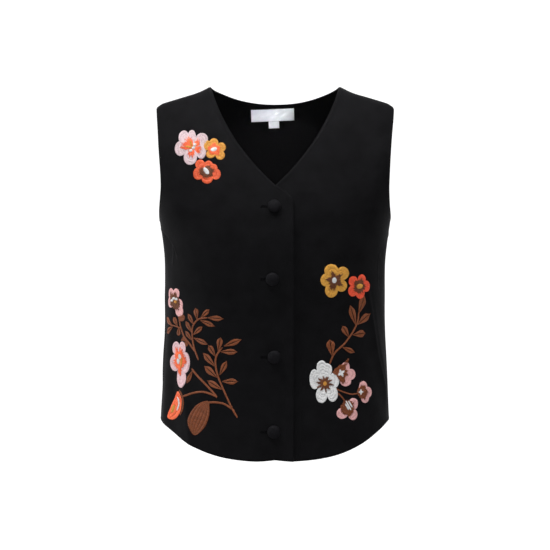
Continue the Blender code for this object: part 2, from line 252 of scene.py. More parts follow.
def even_steps(angles, heights, count):
    """The same line on the form, cut into even steps."""
    along = distances(form(angles, heights, 1))
    at = np.linspace(0, along[-1], count + 1)
    return np.interp(at, along, angles), np.interp(at, along, heights)


def end_to_end(lower, upper):
    """Two lines, each as angles and heights, joined where they meet."""
    return [np.concatenate([low, high[1:]]) for low, high in zip(lower, upper)]


def bezier(points):
    """A curve from the first point to the last, pulled by those between."""
    t = np.linspace(0, 1, LINE_STEPS)[:, None]
    order = len(points) - 1
    curve = np.zeros((LINE_STEPS, 2))
    for k, point in enumerate(points):
        curve += math.comb(order, k) * t**k * (1 - t) ** (order - k) * np.array(point)
    return curve


def hem_line(angle, low):
    """Height of a hem that is lowest at the centre and rises to the side seam."""
    share = np.clip(np.abs(angle) / (QUARTER * HEM_REACH), 0, 1) ** HEM_SWING
    return low + (SIDE_HEM - low) * (1 - np.cos(math.pi * share)) / 2


def front_hem(angle):
    """The front's hem, with the small notch where the two rounded points meet."""
    x = np.abs(section("half_width", FRONT_HEM) * np.sin(angle))
    notch = CENTRE_NOTCH * np.clip(1 - x / NOTCH_HALF, 0, 1) ** NOTCH_BEND
    return hem_line(angle, FRONT_HEM) + notch


def side_line(behind):
    """Side seam and armhole edge, from the hem to the shoulder tip."""
    past_side = 1e-7
    turn = QUARTER + past_side if behind else QUARTER
    heights = np.linspace(SIDE_HEM, UNDERARM, LINE_STEPS)
    seam = even_steps(np.full(LINE_STEPS, turn), heights, ROWS_BELOW)
    tip = float(shoulder_line(TIP_HALF))
    swing = (1 - np.cos(np.linspace(0, math.pi, LINE_STEPS))) / 2
    heights = UNDERARM + (tip - UNDERARM) * swing
    above = np.clip((heights - ARMHOLE_WAIST) / (tip - ARMHOLE_WAIST), 0, 1)
    below = np.clip((ARMHOLE_WAIST - heights) / (ARMHOLE_WAIST - UNDERARM), 0, 1)
    edge = ACROSS_FRONT + (TIP_HALF - ACROSS_FRONT) * above**ARMHOLE_BEND
    edge = edge + (UNDERARM_HALF - ACROSS_FRONT) * below**ARMHOLE_BEND
    angles = angle_at(edge, heights)
    if behind:
        angles = math.pi - angles + past_side
    return end_to_end(seam, even_steps(angles, heights, ROWS_ABOVE))


def front_line():
    """A front's own edge: up the lap, round its top corner and along the V to the shoulder."""
    low = float(front_hem(angle_at(LAP_EDGE, FRONT_HEM)))
    heights = np.linspace(low, UNDERARM, LINE_STEPS)
    straight = even_steps(angle_at(-LAP_EDGE, heights), heights, ROWS_BELOW)
    corner = bezier([(-LAP_EDGE, LAP_CORNER), *LAP_SHOULDERS, (0, V_BOTTOM)])
    neck = bezier([(0, V_BOTTOM), V_BOW, (NECK_HALF, float(shoulder_line(NECK_HALF)))])
    line = np.concatenate([[(-LAP_EDGE, UNDERARM)], corner, neck[1:]])
    angles = angle_at(line[:, 0], line[:, 1])
    return end_to_end(straight, even_steps(angles, line[:, 1], ROWS_ABOVE))


def between(start, end, hem, top, share):
    """Grid of angles and heights between four edge lines: rows go up, columns across."""
    up = np.linspace(0, 1, len(start[0]))[:, None]
    grid = []
    for left, right, low, high in zip(start, end, hem, top):
        straight = left[:, None] + (right - left)[:, None] * share
        hem_bow = low - (low[0] + (low[-1] - low[0]) * share)
        top_bow = high - (high[0] + (high[-1] - high[0]) * share)
        grid.append(straight + (1 - up) ** 5 * hem_bow + up**6 * top_bow)
    return grid


# Distance round the body from the centre front, at every height and angle
CHART_HEIGHTS = np.linspace(-0.56, 0.012, 287)
CHART_ANGLES = np.linspace(0, math.pi, 721)
chart_points = form(CHART_ANGLES[None, :], CHART_HEIGHTS[:, None], 1)
chart_steps = np.linalg.norm(np.diff(chart_points, axis=1), axis=2)
CHART = np.concatenate([np.zeros((len(CHART_HEIGHTS), 1)), np.cumsum(chart_steps, axis=1)], axis=1)


def round_from_front(angle, height):
    """How far round the body a point lies from the centre front."""
    row = (height - CHART_HEIGHTS[0]) / (CHART_HEIGHTS[1] - CHART_HEIGHTS[0])
    column = np.abs(angle) / (CHART_ANGLES[1] - CHART_ANGLES[0])
    r = np.clip(row.astype(int), 0, len(CHART_HEIGHTS) - 2)
    c = np.clip(column.astype(int), 0, len(CHART_ANGLES) - 2)
    up, on = np.clip(row - r, 0, 1), np.clip(column - c, 0, 1)
    low = CHART[r, c] * (1 - on) + CHART[r, c + 1] * on
    high = CHART[r + 1, c] * (1 - on) + CHART[r + 1, c + 1] * on
    return (low * (1 - up) + high * up) * np.sign(angle)


def angle_round(distance, height):
    """The angle at which a point lies this far round the body, found by halving."""
    low = np.full(np.shape(distance), -QUARTER)
    high = np.full(np.shape(distance), math.pi)
    for _ in range(26):
        middle = (low + high) / 2
        short = round_from_front(middle, height) < distance
        low = np.where(short, middle, low)
        high = np.where(short, high, middle)
    return (low + high) / 2


def fold_lift(angle, height, hand):
    """How far the soft folds push the cloth out at each point."""
    lift = np.zeros_like(angle)
    for row in FOLDS:
        fold = dict(zip(FOLD_COLUMNS, row))
        girth = section("half_width", height) * FOLD_GIRTH
        run = np.radians(fold["angle_2"] - fold["angle_1"]) * girth
        fall = fold["height_1"] - fold["height_2"]
        right = (angle - np.radians(fold["angle_1"])) * girth
        down = fold["height_1"] - height
        length = np.hypot(run, fall)
        along = (right * run + down * fall) / length**2
        off = (right * fall - down * run) / length / fold["width"] * fold["hollow"]
        fade = smooth(FOLD_ENDS * np.minimum(along, 1 - along) + FOLD_START)
        crest = np.exp(-(off**2)) - HOLLOW_DEPTH * np.exp(-((off - HOLLOW_OFFSET) ** 2))
        lift += np.where(fold["hand"] == hand, fold["ridge"] * fade * crest, 0)
    return lift


def crease_lift(angle, height, hand):
    """How far the darts and creases push the cloth out, by distance from each one's line."""
    lift = np.zeros_like(angle)
    s = round_from_front(angle, height)
    for side, width, ridge, groove, drop, line in CREASES:
        if side != hand:
            continue
        turns = np.radians([point[0] for point in line])
        heights = np.array([point[1] for point in line])
        places = np.stack([round_from_front(turns, heights), heights], axis=1)
        legs = np.diff(places, axis=0)
        lengths = np.linalg.norm(legs, axis=1)
        nearest = np.full(angle.shape, 1.0)
        off, past_line, beyond, along = (np.zeros_like(angle) for _ in range(4))
        for k, leg in enumerate(legs):
            ds, dz = s - places[k, 0], height - places[k, 1]
            free = (ds * leg[0] + dz * leg[1]) / lengths[k] ** 2
            t = np.clip(free, 0, 1)
            gap = np.hypot(ds - t * leg[0], dz - t * leg[1])
            closer = gap < nearest
            square = (ds * leg[1] - dz * leg[0]) / lengths[k]
            at_end = ((k == 0) & (free < 0)) | ((k == len(legs) - 1) & (free > 1))
            over = np.abs(free - t) * lengths[k] * at_end
            nearest = np.where(closer, gap, nearest)
            off = np.where(closer, gap * np.sign(square), off)
            past_line = np.where(closer, np.clip(-square, 0, None), past_line)
            beyond = np.where(closer, over, beyond)
            along = np.where(closer, (lengths[:k].sum() + t * lengths[k]) / lengths.sum(), along)
        ends = smooth(CREASE_ENDS * (1 - along) + 0.05) * smooth(CREASE_ENDS * along + 0.5)
        fade = ends * np.exp(-np.clip(nearest - 6 * width, 0, None) / width)
        crest = ridge * np.exp(-((off / width) ** 2))
        beside = groove * np.exp(-((off / width + 2.0) ** 2))
        lift += fade * (crest + beside)
        if drop:
            sunk = smooth(past_line / (2.4 * width)) * np.exp(-((past_line / DROP_RETURN) ** 2))
            sunk = drop * ends * sunk * np.exp(-((beyond / DROP_END) ** 2))
            lift -= sunk * smooth((DROP_SIDE - angle) / DROP_SIDE_FADE)
    return lift


def sway_lift(angle, height, hand):
    """Long faint waves, as no worn cloth lies quite even."""
    s = round_from_front(angle, height) * hand
    waves = 0.00035 * np.sin(41 * s + 17 * height + 0.8 * hand)
    waves += 0.00028 * np.sin(63 * height - 26 * s + 2.1)
    waves += 0.00016 * np.sin(109 * s + 71 * height + 4.0 + hand)
    return waves * smooth((math.pi / 2 - np.abs(angle - QUARTER)) / 0.25)


def worn_lift(angle, height, hand):
    """How far wear and sewing push the cloth off the body's form."""
    return fold_lift(angle, height, hand) + crease_lift(angle, height, hand) + sway_lift(angle, height, hand)


def outward(points, hand):
    """Unit normals of a grid of points, away from the body."""
    up = np.gradient(points, axis=0)
    across = np.gradient(points, axis=1)
    return unit(np.cross(across, up) * hand)


def square_to_seam(normal, rows, columns):
    """Turns the normals along a seam, so that the two panels meet there flush."""
    normal[rows, columns] = unit(normal[rows, columns] * (1, 0, 1))


def lap_lift(x, height, hand):
    """How far the upper front rises over the lower one, or the lower one sinks beside its edge."""
    if hand > 0:
        depth = np.interp(height, LAP_HOLLOW[:, 0], LAP_HOLLOW[:, 1])
        far = (x - LAP_EDGE - LAP_HOLLOW_FLOOR) / (LAP_HOLLOW_WIDTH - LAP_HOLLOW_FLOOR)
        return -depth * smooth((x - LAP_EDGE + LAP_HOLLOW_START) / LAP_HOLLOW_RISE) * smooth(1 - far)
    full = LAP_EDGE + LAP_SHELF
    fade = smooth((LAP_CURL_TOP - height) / LAP_CURL_FADE)
    curl = LAP_CURL * smooth((x - LAP_EDGE) / LAP_CURL_WIDTH + 1) * fade
    return (CLOTH + LAP_GAP) * smooth((x + full + LAP_BLEND) / LAP_BLEND) + curl


def front_lift(angle, height, hand, x):
    """How far a front stands off the body's form."""
    return worn_lift(angle, height, hand) + lap_lift(x, height, hand)


def from_edges(points, start=True, end=True, low=True, high=False):
    """Distance of each grid point from the panel's turned edges, along its row or column."""
    across = np.linalg.norm(np.diff(points, axis=1), axis=2)
    across = np.concatenate([np.zeros((len(points), 1)), np.cumsum(across, axis=1)], axis=1)
    up = np.linalg.norm(np.diff(points, axis=0), axis=2)
    up = np.concatenate([np.zeros((1, points.shape[1])), np.cumsum(up, axis=0)], axis=0)
    gap = np.full(points.shape[:2], 1.0)
    if start:
        gap = np.minimum(gap, across)
    if end:
        gap = np.minimum(gap, across[:, -1:] - across)
    if low:
        gap = np.minimum(gap, up)
    if high:
        gap = np.minimum(gap, up[-1:] - up)
    return gap


def edge_sink(gap):
    """How far the cloth sinks towards an edge that is turned in and pressed, past a slight ridge."""
    ridge = EDGE_RIDGE * np.exp(-(((gap - EDGE_RIDGE_PLACE) / EDGE_RIDGE_WIDTH) ** 2))
    return EDGE_ROLL * np.clip(1 - gap / EDGE_ROLL_WIDTH, 0, 1) ** 2 - ridge


def away_from_underarm(height):
    """0 level with the armhole's bottom, where the edges stay even, and 1 past it."""
    return smooth((np.abs(height - UNDERARM) - UNDERARM_EVEN) / UNDERARM_FADE)


def shell(name, outer, normal, thickness, places, materials, node_name):
    """A closed sheet under an outer grid of points, with round edges and a map of its weave."""
    rows, columns = outer.shape[:2]
    rim = [(0, c) for c in range(columns - 1)]
    rim += [(r, columns - 1) for r in range(rows - 1)]
    rim += [(rows - 1, c) for c in range(columns - 1, 0, -1)]
    rim += [(r, 0) for r in range(rows - 1, 0, -1)]
    rim = np.array(rim)
    edge = outer[rim[:, 0], rim[:, 1]]
    edge_normal = normal[rim[:, 0], rim[:, 1]]
    inside = np.stack([np.clip(rim[:, 0], 1, rows - 2), np.clip(rim[:, 1], 1, columns - 2)], axis=1)
    tangent = np.roll(edge, -1, axis=0) - np.roll(edge, 1, axis=0)
    away = unit(np.cross(tangent, edge_normal))
    inward = outer[inside[:, 0], inside[:, 1]] - edge
    away *= -np.sign((away * inward).sum())
    radius = thickness / 2
    outer = outer.copy()
    outer[rim[:, 0], rim[:, 1]] -= away * radius
    inner = outer - normal * thickness
    edge = edge - away * radius
    turned = []
    for k in range(1, RIM_STEPS):
        turn = math.pi * k / RIM_STEPS
        lift = math.cos(turn) - 1
        turned.append(edge + radius * (lift * edge_normal + math.sin(turn) * away))
    verts = np.concatenate([outer.reshape(-1, 3), inner.reshape(-1, 3), *turned])
    index = np.arange(rows * columns).reshape(rows, columns)
    low, right = index[:-1, :-1].ravel(), index[:-1, 1:].ravel()
    high, across = index[1:, :-1].ravel(), index[1:, 1:].ravel()
    outside = np.stack([low, right, across, high], axis=1)
    back = rows * columns
    faces = [outside, outside[:, ::-1] + back]
    ring = [index[rim[:, 0], rim[:, 1]]]
    for k in range(RIM_STEPS - 1):
        ring.append(2 * back + k * len(rim) + np.arange(len(rim)))
    ring.append(index[rim[:, 0], rim[:, 1]] + back)
    for above, below in zip(ring, ring[1:]):
        strip = [above, below, np.roll(below, -1), np.roll(above, -1)]
        faces.append(np.stack(strip, axis=1))
    edge_places = places[rim[:, 0], rim[:, 1]]
    uv = np.concatenate([places.reshape(-1, 2)] * 2 + [edge_places] * (RIM_STEPS - 1))
    faces = np.concatenate(faces)
    lined = np.zeros(len(faces), dtype=np.int32)
    lined[len(outside):2 * len(outside)] = len(materials) - 1
    return made_up(name, verts.tolist(), faces.tolist(), uv, materials, lined, node_name)


def made_up(name, verts, faces, uv, materials, finishes, node_name=None, map_name="weave"):
    """A closed piece with its map, finishes and body, and the solid that it stands for."""
    mesh = bpy.data.meshes.new(name)
    mesh.from_pydata(verts, [], faces)
    corners = np.zeros(len(mesh.loops), dtype=np.int32)
    mesh.loops.foreach_get("vertex_index", corners)
    layer = mesh.uv_layers.new(name=map_name)
    layer.data.foreach_set("uv", uv[corners].ravel().astype(np.float32))
    for material in materials:
        mesh.materials.append(material)
    mesh.polygons.foreach_set("material_index", finishes)
    mesh.shade_smooth()
    bm = bmesh.new()
    bm.from_mesh(mesh)
    bmesh.ops.recalc_face_normals(bm, faces=bm.faces)
    bm.to_mesh(mesh)
    bm.free()
    piece = bpy.data.objects.new(name, mesh)
    bpy.context.scene.collection.objects.link(piece)
    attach(piece, "root")
    if node_name:
        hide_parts(node_name)
    return piece


def node(tree, kind, settings=None, **inputs):
    """A shader node, its settings and the values or links of its inputs."""
    made = tree.nodes.new(kind)
    for key, value in (settings or {}).items():
        setattr(made, key, value)
    for key, value in inputs.items():
        socket = made.inputs[int(key[1:])] if key[1:].isdigit() else made.inputs[key.replace("_", " ")]
        if isinstance(value, bpy.types.NodeSocket):
            tree.links.new(value, socket)
        else:
            socket.default_value = value
    return made


def maths(tree, operation, *values):
    """The outcome of one sum on shader values."""
    sockets = {f"_{k}": value for k, value in enumerate(values)}
    return node(tree, "ShaderNodeMath", {"operation": operation}, **sockets).outputs[0]


def ramp(tree, factor, low, high, start=0.0, end=1.0):
    """A blend of two colours over part of a factor's range."""
    made = node(tree, "ShaderNodeValToRGB", Fac=factor)
    made.color_ramp.elements[0].position = start
    made.color_ramp.elements[0].color = (*low, 1)
    made.color_ramp.elements[1].position = end
    made.color_ramp.elements[1].color = (*high, 1)
    return made.outputs["Color"]


def blank(name):
    """A new material, its tree and its shader."""
    material = bpy.data.materials.new(name)
    material.use_nodes = True
    tree = material.node_tree
    return material, tree, tree.nodes["Principled BSDF"]


def plain_weave(tree, pitch):
    """Height of a plain weave of this pitch, from the map in metres, and its uneven yarns."""
    place = node(tree, "ShaderNodeUVMap", {"uv_map": "weave"}).outputs["UV"]
    period = 2 * math.pi / 20 / (2 * pitch)
    waves = []
    for way in ("X", "Y"):
        wave = node(
            tree, "ShaderNodeTexWave", {"wave_type": "BANDS", "bands_direction": way},
            Vector=place, Scale=period, Distortion=0.0,
        )
        waves.append(maths(tree, "SUBTRACT", wave.outputs["Fac"], 0.5))
    bump = maths(tree, "ABSOLUTE", maths(tree, "MULTIPLY", *waves))
    yarns = []
    for scale in ((2200, 160, 1), (160, 2200, 1)):
        mapped = node(tree, "ShaderNodeMapping", Vector=place, Scale=scale)
        yarn = node(tree, "ShaderNodeTexNoise", Vector=mapped.outputs[0], Scale=1.0, Detail=2.0, Roughness=0.6)
        yarns.append(yarn.outputs["Fac"])
    uneven = maths(tree, "ADD", *yarns)
    return maths(tree, "MULTIPLY_ADD", bump, 2.0, uneven), uneven, place


def finish(tree, shader, factor, colours, span, height, relief, **values):
    """A surface's colours over a span of the factor, its small relief and its plain values."""
    tree.links.new(ramp(tree, factor, *colours, *span), shader.inputs["Base Color"])
    for key, value in values.items():
        shader.inputs[key.replace("_", " ")].default_value = value
    bump = node(tree, "ShaderNodeBump", Strength=relief[0], Distance=relief[1], Height=height)
    tree.links.new(bump.outputs[0], shader.inputs["Normal"])


WEAVE_PITCH = 0.00042
LINING_PITCH = 0.00022
black_cloth, tree, shader = blank("black_cloth")
height, uneven, place = plain_weave(tree, WEAVE_PITCH)
cloudy = node(tree, "ShaderNodeTexNoise", Vector=place, Scale=38.0, Detail=4.0, Roughness=0.55)
mixed = maths(tree, "MULTIPLY_ADD", uneven, 0.35, cloudy.outputs["Fac"])
finish(
    tree, shader, mixed, ((0.0028, 0.0027, 0.0031), (0.0058, 0.0057, 0.0065)), (0.45, 1.15),
    height, (0.35, 0.00022), Roughness=0.72, Specular_IOR_Level=0.04, Sheen_Weight=0.03, Sheen_Roughness=0.35,
    Sheen_Tint=(0.92, 0.90, 1.0, 1),
)

# The lining: black cloth, painted darker still as shade for the inside of the waistcoat.
black_lining_and_painted_shade, tree, shader = blank("black_lining_and_painted_shade")
height, uneven, place = plain_weave(tree, LINING_PITCH)
finish(
    tree, shader, uneven, ((0.0010, 0.0010, 0.0012), (0.0018, 0.0018, 0.0021)), (0.7, 1.3),
    height, (0.25, 0.00015), Roughness=0.55, Specular_IOR_Level=0.06,
)


def front_cloth(name, node_name, hand):
    """One front, from its own edge to the side seam and from the hem to the shoulder seam."""
    start = front_line()
    end = side_line(behind=False)
    share = 1 - (1 - np.linspace(0, 1, FRONT_ACROSS + 1)) ** SIDE_CROWDING
    hem_angles = start[0][0] + (end[0][0] - start[0][0]) * share
    seam_x = NECK_HALF + (TIP_HALF - NECK_HALF) * share
    top = (angle_at(seam_x, shoulder_line(seam_x)), shoulder_line(seam_x))
    angle, height = between(start, end, (hem_angles, front_hem(hem_angles)), top, share)
    base = front_form(angle, height, hand)
    normal = outward(base, hand)
    square_to_seam(normal, slice(0, ROWS_BELOW + 1), -1)
    square_to_seam(normal, -1, slice(None))
    lift = front_lift(angle, height, hand, base[..., 0])
    armhole = np.arange(len(base)) > ROWS_BELOW
    gap = np.minimum(
        from_edges(base, end=False), np.where(armhole[:, None], from_edges(base, start=False, low=False), 1)
    )
    lift = lift - edge_sink(gap) * np.where(angle < FRONT_MIDDLE, 1, away_from_underarm(height))
    places = np.stack([round_from_front(angle, height) * hand, height], axis=-1)
    outer = base + normal * lift[..., None]
    front = shell(name, outer, normal, CLOTH, places, (black_cloth, black_lining_and_painted_shade), node_name)


front_cloth("right_front_cloth", "right_front", -1)

# The embroidery begins with the flowers on the right chest. All of it is machine satin stitch in
# rayon thread over padding, sewn through the cloth before the pieces were joined. Places are
# millimetres round the body from the centre front, and above the neck point.
STITCH_GAP = 0.62
STITCH_WIDTH = 0.84
STITCH_RISE = 0.55
STITCH_DEPTH = 0.5
STITCH_SINK = -0.25
STITCH_STEPS = np.array((0.0, 0.13, 0.5, 0.87, 1.0))
STITCH_ARCH = np.array((0.0, 0.86, 1.0, 0.86, 0.0))
STITCH_SPREAD = np.array((0.6, 0.97, 1.0, 0.97, 0.6))
LONGEST_STITCH = 8.0
RING_CUTS = (1.0, 0.72, 0.44, 0.14)
BUD_CUTS = (1.0, 0.62, 0.2)
FAN_GAP = 0.5
OVAL_RISE = 0.7
OVAL_POINTS = 48
FLOWER_POINTS = 240
MM = 0.001


def thread(name, dark, light, gloss=0.22):
    """Rayon thread of one dye, each stitch a little lighter or darker than the next."""
    material, tree, shader = blank(name)
    place = node(tree, "ShaderNodeUVMap", {"uv_map": "thread"}).outputs["UV"]
    own = node(tree, "ShaderNodeSeparateXYZ", _0=place)
    twist = node(tree, "ShaderNodeMapping", Vector=place, Scale=(40, 900, 1))
    twisted = node(tree, "ShaderNodeTexNoise", Vector=twist.outputs[0], Scale=1.0, Detail=1.0)
    shade = maths(tree, "MULTIPLY_ADD", twisted.outputs["Fac"], 0.6, own.outputs[0])
    finish(
        tree, shader, shade, (dark, light), (0.1, 1.4),
        twisted.outputs["Fac"], (0.3, 0.0001), Roughness=0.46, Specular_IOR_Level=gloss,
    )
    return material


def on_cloth(s, z, hand):
    """Points of a front's outer side, by place in metres, and the way the cloth faces there."""
    angle = angle_round(s, z)
    turn, rise = 0.004, 0.0015
    across = front_form(angle + turn, z, hand) - front_form(angle - turn, z, hand)
    up = front_form(angle, z + rise, hand) - front_form(angle, z - rise, hand)
    normal = unit(np.cross(across, up) * hand)
    base = front_form(angle, z, hand)
    lift = front_lift(angle, z, hand, base[..., 0])
    return base + normal * lift[..., None], normal


def spline(points, count, closed=False):
    """A smooth line through points, in even steps."""
    points = np.array(points, dtype=float)
    if closed:
        points = np.concatenate([points[-1:], points, points[:2]])
    else:
        points = np.concatenate([2 * points[:1] - points[1:2], points, 2 * points[-1:] - points[-2:-1]])
    fine = []
    for a, b, c, d in zip(points, points[1:], points[2:], points[3:]):
        t = np.linspace(0, 1, 24, endpoint=False)[:, None]
        fine.append(
            0.5 * (2 * b + (c - a) * t + (2 * a - 5 * b + 4 * c - d) * t**2 + (3 * b - a - 3 * c + d) * t**3)
        )
    line = np.concatenate([*fine, points[-2:-1]])
    along = distances(line)
    at = np.linspace(0, along[-1], count + 1)
    return np.stack([np.interp(at, along, line[:, 0]), np.interp(at, along, line[:, 1])], axis=1)


def ellipse(s, z, across, up, turn=0.0):
    """Outline of an oval on the cloth."""
    t = np.linspace(0, 2 * math.pi, OVAL_POINTS, endpoint=False)
    a, b = across * np.cos(t), up * np.sin(t)
    c, d = math.cos(math.radians(turn)), math.sin(math.radians(turn))
    return np.stack([s + a * c - b * d, z + a * d + b * c], axis=1)


def lobed(centre, petals, core):
    """Outline of a flower as its reach from the centre: the furthest of its oval petals."""
    turns = np.linspace(0, 2 * math.pi, FLOWER_POINTS, endpoint=False)
    reach = np.full(FLOWER_POINTS, float(core))
    for s, z, across, up in petals:
        ds, dz = np.cos(turns) / across, np.sin(turns) / up
        os, oz = (centre[0] - s) / across, (centre[1] - z) / up
        a, b, c = ds**2 + dz**2, os * ds + oz * dz, os**2 + oz**2 - 1
        found = b**2 - a * c
        r = (-b + np.sqrt(np.clip(found, 0, None))) / a
        reach = np.where(found > 0, np.maximum(reach, r), reach)
    return turns, reach


def spoke(centre, turn, reach):
    """The point this far from a centre, in this direction."""
    return centre[0] + math.cos(turn) * reach, centre[1] + math.sin(turn) * reach


class Needlework:
    """The stitches of one motif: each has two ends, a width, a rise, a lift and a thread."""

    def __init__(self, hand, seed):
        self.hand = hand
        self.chance = np.random.default_rng(seed)
        self.rows = []
        self.threads = []

    def stitch(self, a, b, dye, above=0.0, width=STITCH_WIDTH, rise=STITCH_RISE):
        """One stitch, or several end to end where it would be too long to lie flat."""
        if dye not in self.threads:
            self.threads.append(dye)
        length = math.hypot(b[0] - a[0], b[1] - a[1])
        if length < 0.5:
            return
        parts = max(1, math.ceil(length / LONGEST_STITCH))
        cuts = [k / parts for k in range(parts + 1)]
        for k in range(1, parts):
            cuts[k] += self.chance.uniform(-0.22, 0.22) / parts
        for low, high in zip(cuts, cuts[1:]):
            low = max(0.0, low - 0.25 / length) if low > 0 else low
            first = (a[0] + (b[0] - a[0]) * low, a[1] + (b[1] - a[1]) * low)
            last = (a[0] + (b[0] - a[0]) * high, a[1] + (b[1] - a[1]) * high)
            risen = rise * self.chance.uniform(0.9, 1.1)
            self.rows.append((*first, *last, width, risen, above, self.threads.index(dye)))

    def rings(self, centre, outline, dye, cuts=RING_CUTS):
        """Rounds of stitches that point at the centre, each round inside the last."""
        turns, reach = outline
        closed = np.append(turns, turns[0] + 2 * math.pi), np.append(reach, reach[0])
        for outer, inner in zip(cuts, cuts[1:]):
            edge = np.stack([np.cos(closed[0]), np.sin(closed[0])], axis=1) * (closed[1] * outer)[:, None]
            along = distances(edge)
            count = max(8, int(along[-1] / STITCH_GAP))
            offset = self.chance.uniform(0, 1)
            at = (np.arange(count) + offset) * along[-1] / count
            for turn in np.interp(at, along, closed[0]):
                r = float(np.interp(turn, *closed))
                start = r * outer + self.chance.uniform(-0.12, 0.12)
                end = r * inner - 0.8 + self.chance.uniform(-0.45, 0.35)
                a, b = spoke(centre, turn, start), spoke(centre, turn, max(end, 0.2))
                self.stitch(a, b, dye, rise=STITCH_RISE * (1.05 if outer == 1 else 0.95))

    def fan(self, centre, tips, dye, inner, jag=0.34, above=0.7, whole=False):
        """Pointed stitches from the centre to a jagged edge, given as (degrees, reach) tips."""
        tips = [(math.radians(turn), reach) for turn, reach in tips]
        if whole:
            tips.append((tips[0][0] + 2 * math.pi, tips[0][1]))
        turns, reaches = [t for t, _ in tips], [r for _, r in tips]
        middle = 0.62 * sum(reaches) / len(reaches)
        count = max(3, int((turns[-1] - turns[0]) * middle / FAN_GAP))
        for k in range(count + (0 if whole else 1)):
            turn = turns[0] + (turns[-1] - turns[0]) * k / count + self.chance.uniform(-0.3, 0.3) / count
            reach = float(np.interp(turn, turns, reaches)) * (1 - jag * self.chance.uniform(0, 1))
            start = inner * self.chance.uniform(0.7, 1.3)
            a, b = spoke(centre, turn, start), spoke(centre, turn, reach)
            self.stitch(a, b, dye, above, width=STITCH_WIDTH * 0.85, rise=STITCH_RISE * 0.8)

    def fill(self, outline, turn, dye, above=0.0, split=(), rise=STITCH_RISE):
        """Parallel stitches across an outline, broken at these shares of its width."""
        c, s = math.cos(math.radians(turn)), math.sin(math.radians(turn))
        turned = outline @ np.array(((c, -s), (s, c)))
        low, high = turned[:, 1].min(), turned[:, 1].max()
        after = np.roll(turned, -1, axis=0)
        rows = max(2, int((high - low) / STITCH_GAP))
        for k in range(rows):
            level = low + (k + 0.5) * (high - low) / rows
            crossed = (turned[:, 1] > level) != (after[:, 1] > level)
            part = (level - turned[crossed, 1]) / (after[crossed, 1] - turned[crossed, 1])
            hits = np.sort(turned[crossed, 0] + part * (after[crossed, 0] - turned[crossed, 0]))
            for start, end in zip(hits[::2], hits[1::2]):
                marks = [start, end]
                marks[1:1] = [start + share * (end - start) for share in split]
                for a, b in zip(marks, marks[1:]):
                    a, b = a - self.chance.uniform(0, 0.3), b + self.chance.uniform(0, 0.3)
                    ends = [(at * c - level * s, at * s + level * c) for at in (a, b)]
                    self.stitch(*ends, dye, above, rise=rise)

    def oval(self, s, z, across, up, dye, turn=0.0, above=1.1):
        """A small raised dot of parallel stitches."""
        way = turn + (90 if across > up else 0)
        self.fill(ellipse(s, z, across, up, turn), way, dye, above, rise=OVAL_RISE)

    def leaves(self, rows, dye):
        """Leaves by base, tip and width: two halves of slanted stitches that meet at the midrib."""
        for row in rows:
            base, tip, width = np.array(row[:2]), np.array(row[2:4]), row[4]
            length = np.linalg.norm(tip - base)
            way = (tip - base) / length
            side = np.array((-way[1], way[0]))
            count = max(5, int(length / STITCH_GAP))
            for k in range(count):
                t = (k + 0.4) / count
                rib = base + way * length * t
                half = width * 0.5 * math.sin(math.pi * min(1, t + 0.02) ** 0.92) ** 1.35
                forward = way * min(half * 0.9 + 0.3, length * (1.02 - t))
                for hand in (-1, 1):
                    root = rib + side * hand * 0.34
                    edge = rib + side * hand * (half + self.chance.uniform(-0.1, 0.1)) + forward
                    self.stitch(root, edge, dye)

    def stem(self, points, width, dye, above=0.0, slant=0.9, taper=0.25):
        """A cord of slanted stitches along a line."""
        rough = spline(points, 60)
        count = max(4, int(distances(rough)[-1] / STITCH_GAP))
        line = spline(points, count)
        way = unit(np.gradient(line, axis=0))
        side = np.stack([-way[:, 1], way[:, 0]], axis=1)
        for k in range(count + 1):
            end = min(1, 4 * min(k, count - k) / count + 1 - taper)
            half = width / 2 * end
            offset = side[k] * half + way[k] * half * slant
            self.stitch(line[k] - offset, line[k] + offset, dye, above)

    def sew(self, name, on=on_cloth, slot_name="embroidery"):
        """The motif's stitches as one mesh of closed, arched strands on what they are sewn to."""
        rows = np.array(self.rows)
        count, steps = len(rows), len(STITCH_STEPS)
        s = (rows[:, 0:1] + (rows[:, 2:3] - rows[:, 0:1]) * STITCH_STEPS) * MM
        z = (rows[:, 1:2] + (rows[:, 3:4] - rows[:, 1:2]) * STITCH_STEPS) * MM
        points, normal = on(s, z, self.hand)
        side = unit(np.cross(normal, np.gradient(points, axis=1)))
        lift = (rows[:, 6:7] + STITCH_SINK + (rows[:, 5:6] - STITCH_SINK) * STITCH_ARCH) * MM
        wide = rows[:, 4:5] * STITCH_SPREAD * MM
        corners = []
        for share, drop in ((-0.5, STITCH_DEPTH), (-0.27, 0.0), (0.27, 0.0), (0.5, STITCH_DEPTH)):
            corners.append(points + side * (wide * share)[..., None] + normal * (lift - drop * MM)[..., None])
        verts = np.stack(corners, axis=2)
        index = np.arange(count * steps * 4).reshape(count, steps, 4)
        faces = []
        for k in range(4):
            j = (k + 1) % 4
            quad = (index[:, :-1, k], index[:, :-1, j], index[:, 1:, j], index[:, 1:, k])
            faces.append(np.stack(quad, axis=-1).reshape(-1, 4))
        faces.append(index[:, 0, ::-1])
        faces.append(index[:, -1, :])
        dyes = rows[:, 7].astype(int)
        inks = np.concatenate([np.tile(np.repeat(dyes, steps - 1), 4), dyes, dyes])
        own = self.chance.uniform(0, 1, count)[:, None] + np.zeros((count, steps))
        along = np.linalg.norm(points - points[:, :1], axis=-1) + own
        uv = np.repeat(np.stack([own, along], axis=-1).reshape(-1, 2), 4, axis=0)
        verts = verts.reshape(-1, 3).tolist()
        faces = np.concatenate(faces).tolist()
        made_up(name, verts, faces, uv, self.threads, inks.astype(np.int32), map_name="thread")


def flower(hand, seed, centre, core, dye, petals):
    """A motif that begins with a flower: its core's reach, its dye and its oval petals."""
    work = Needlework(hand, seed)
    work.rings(centre, lobed(centre, petals, core), dye)
    return work


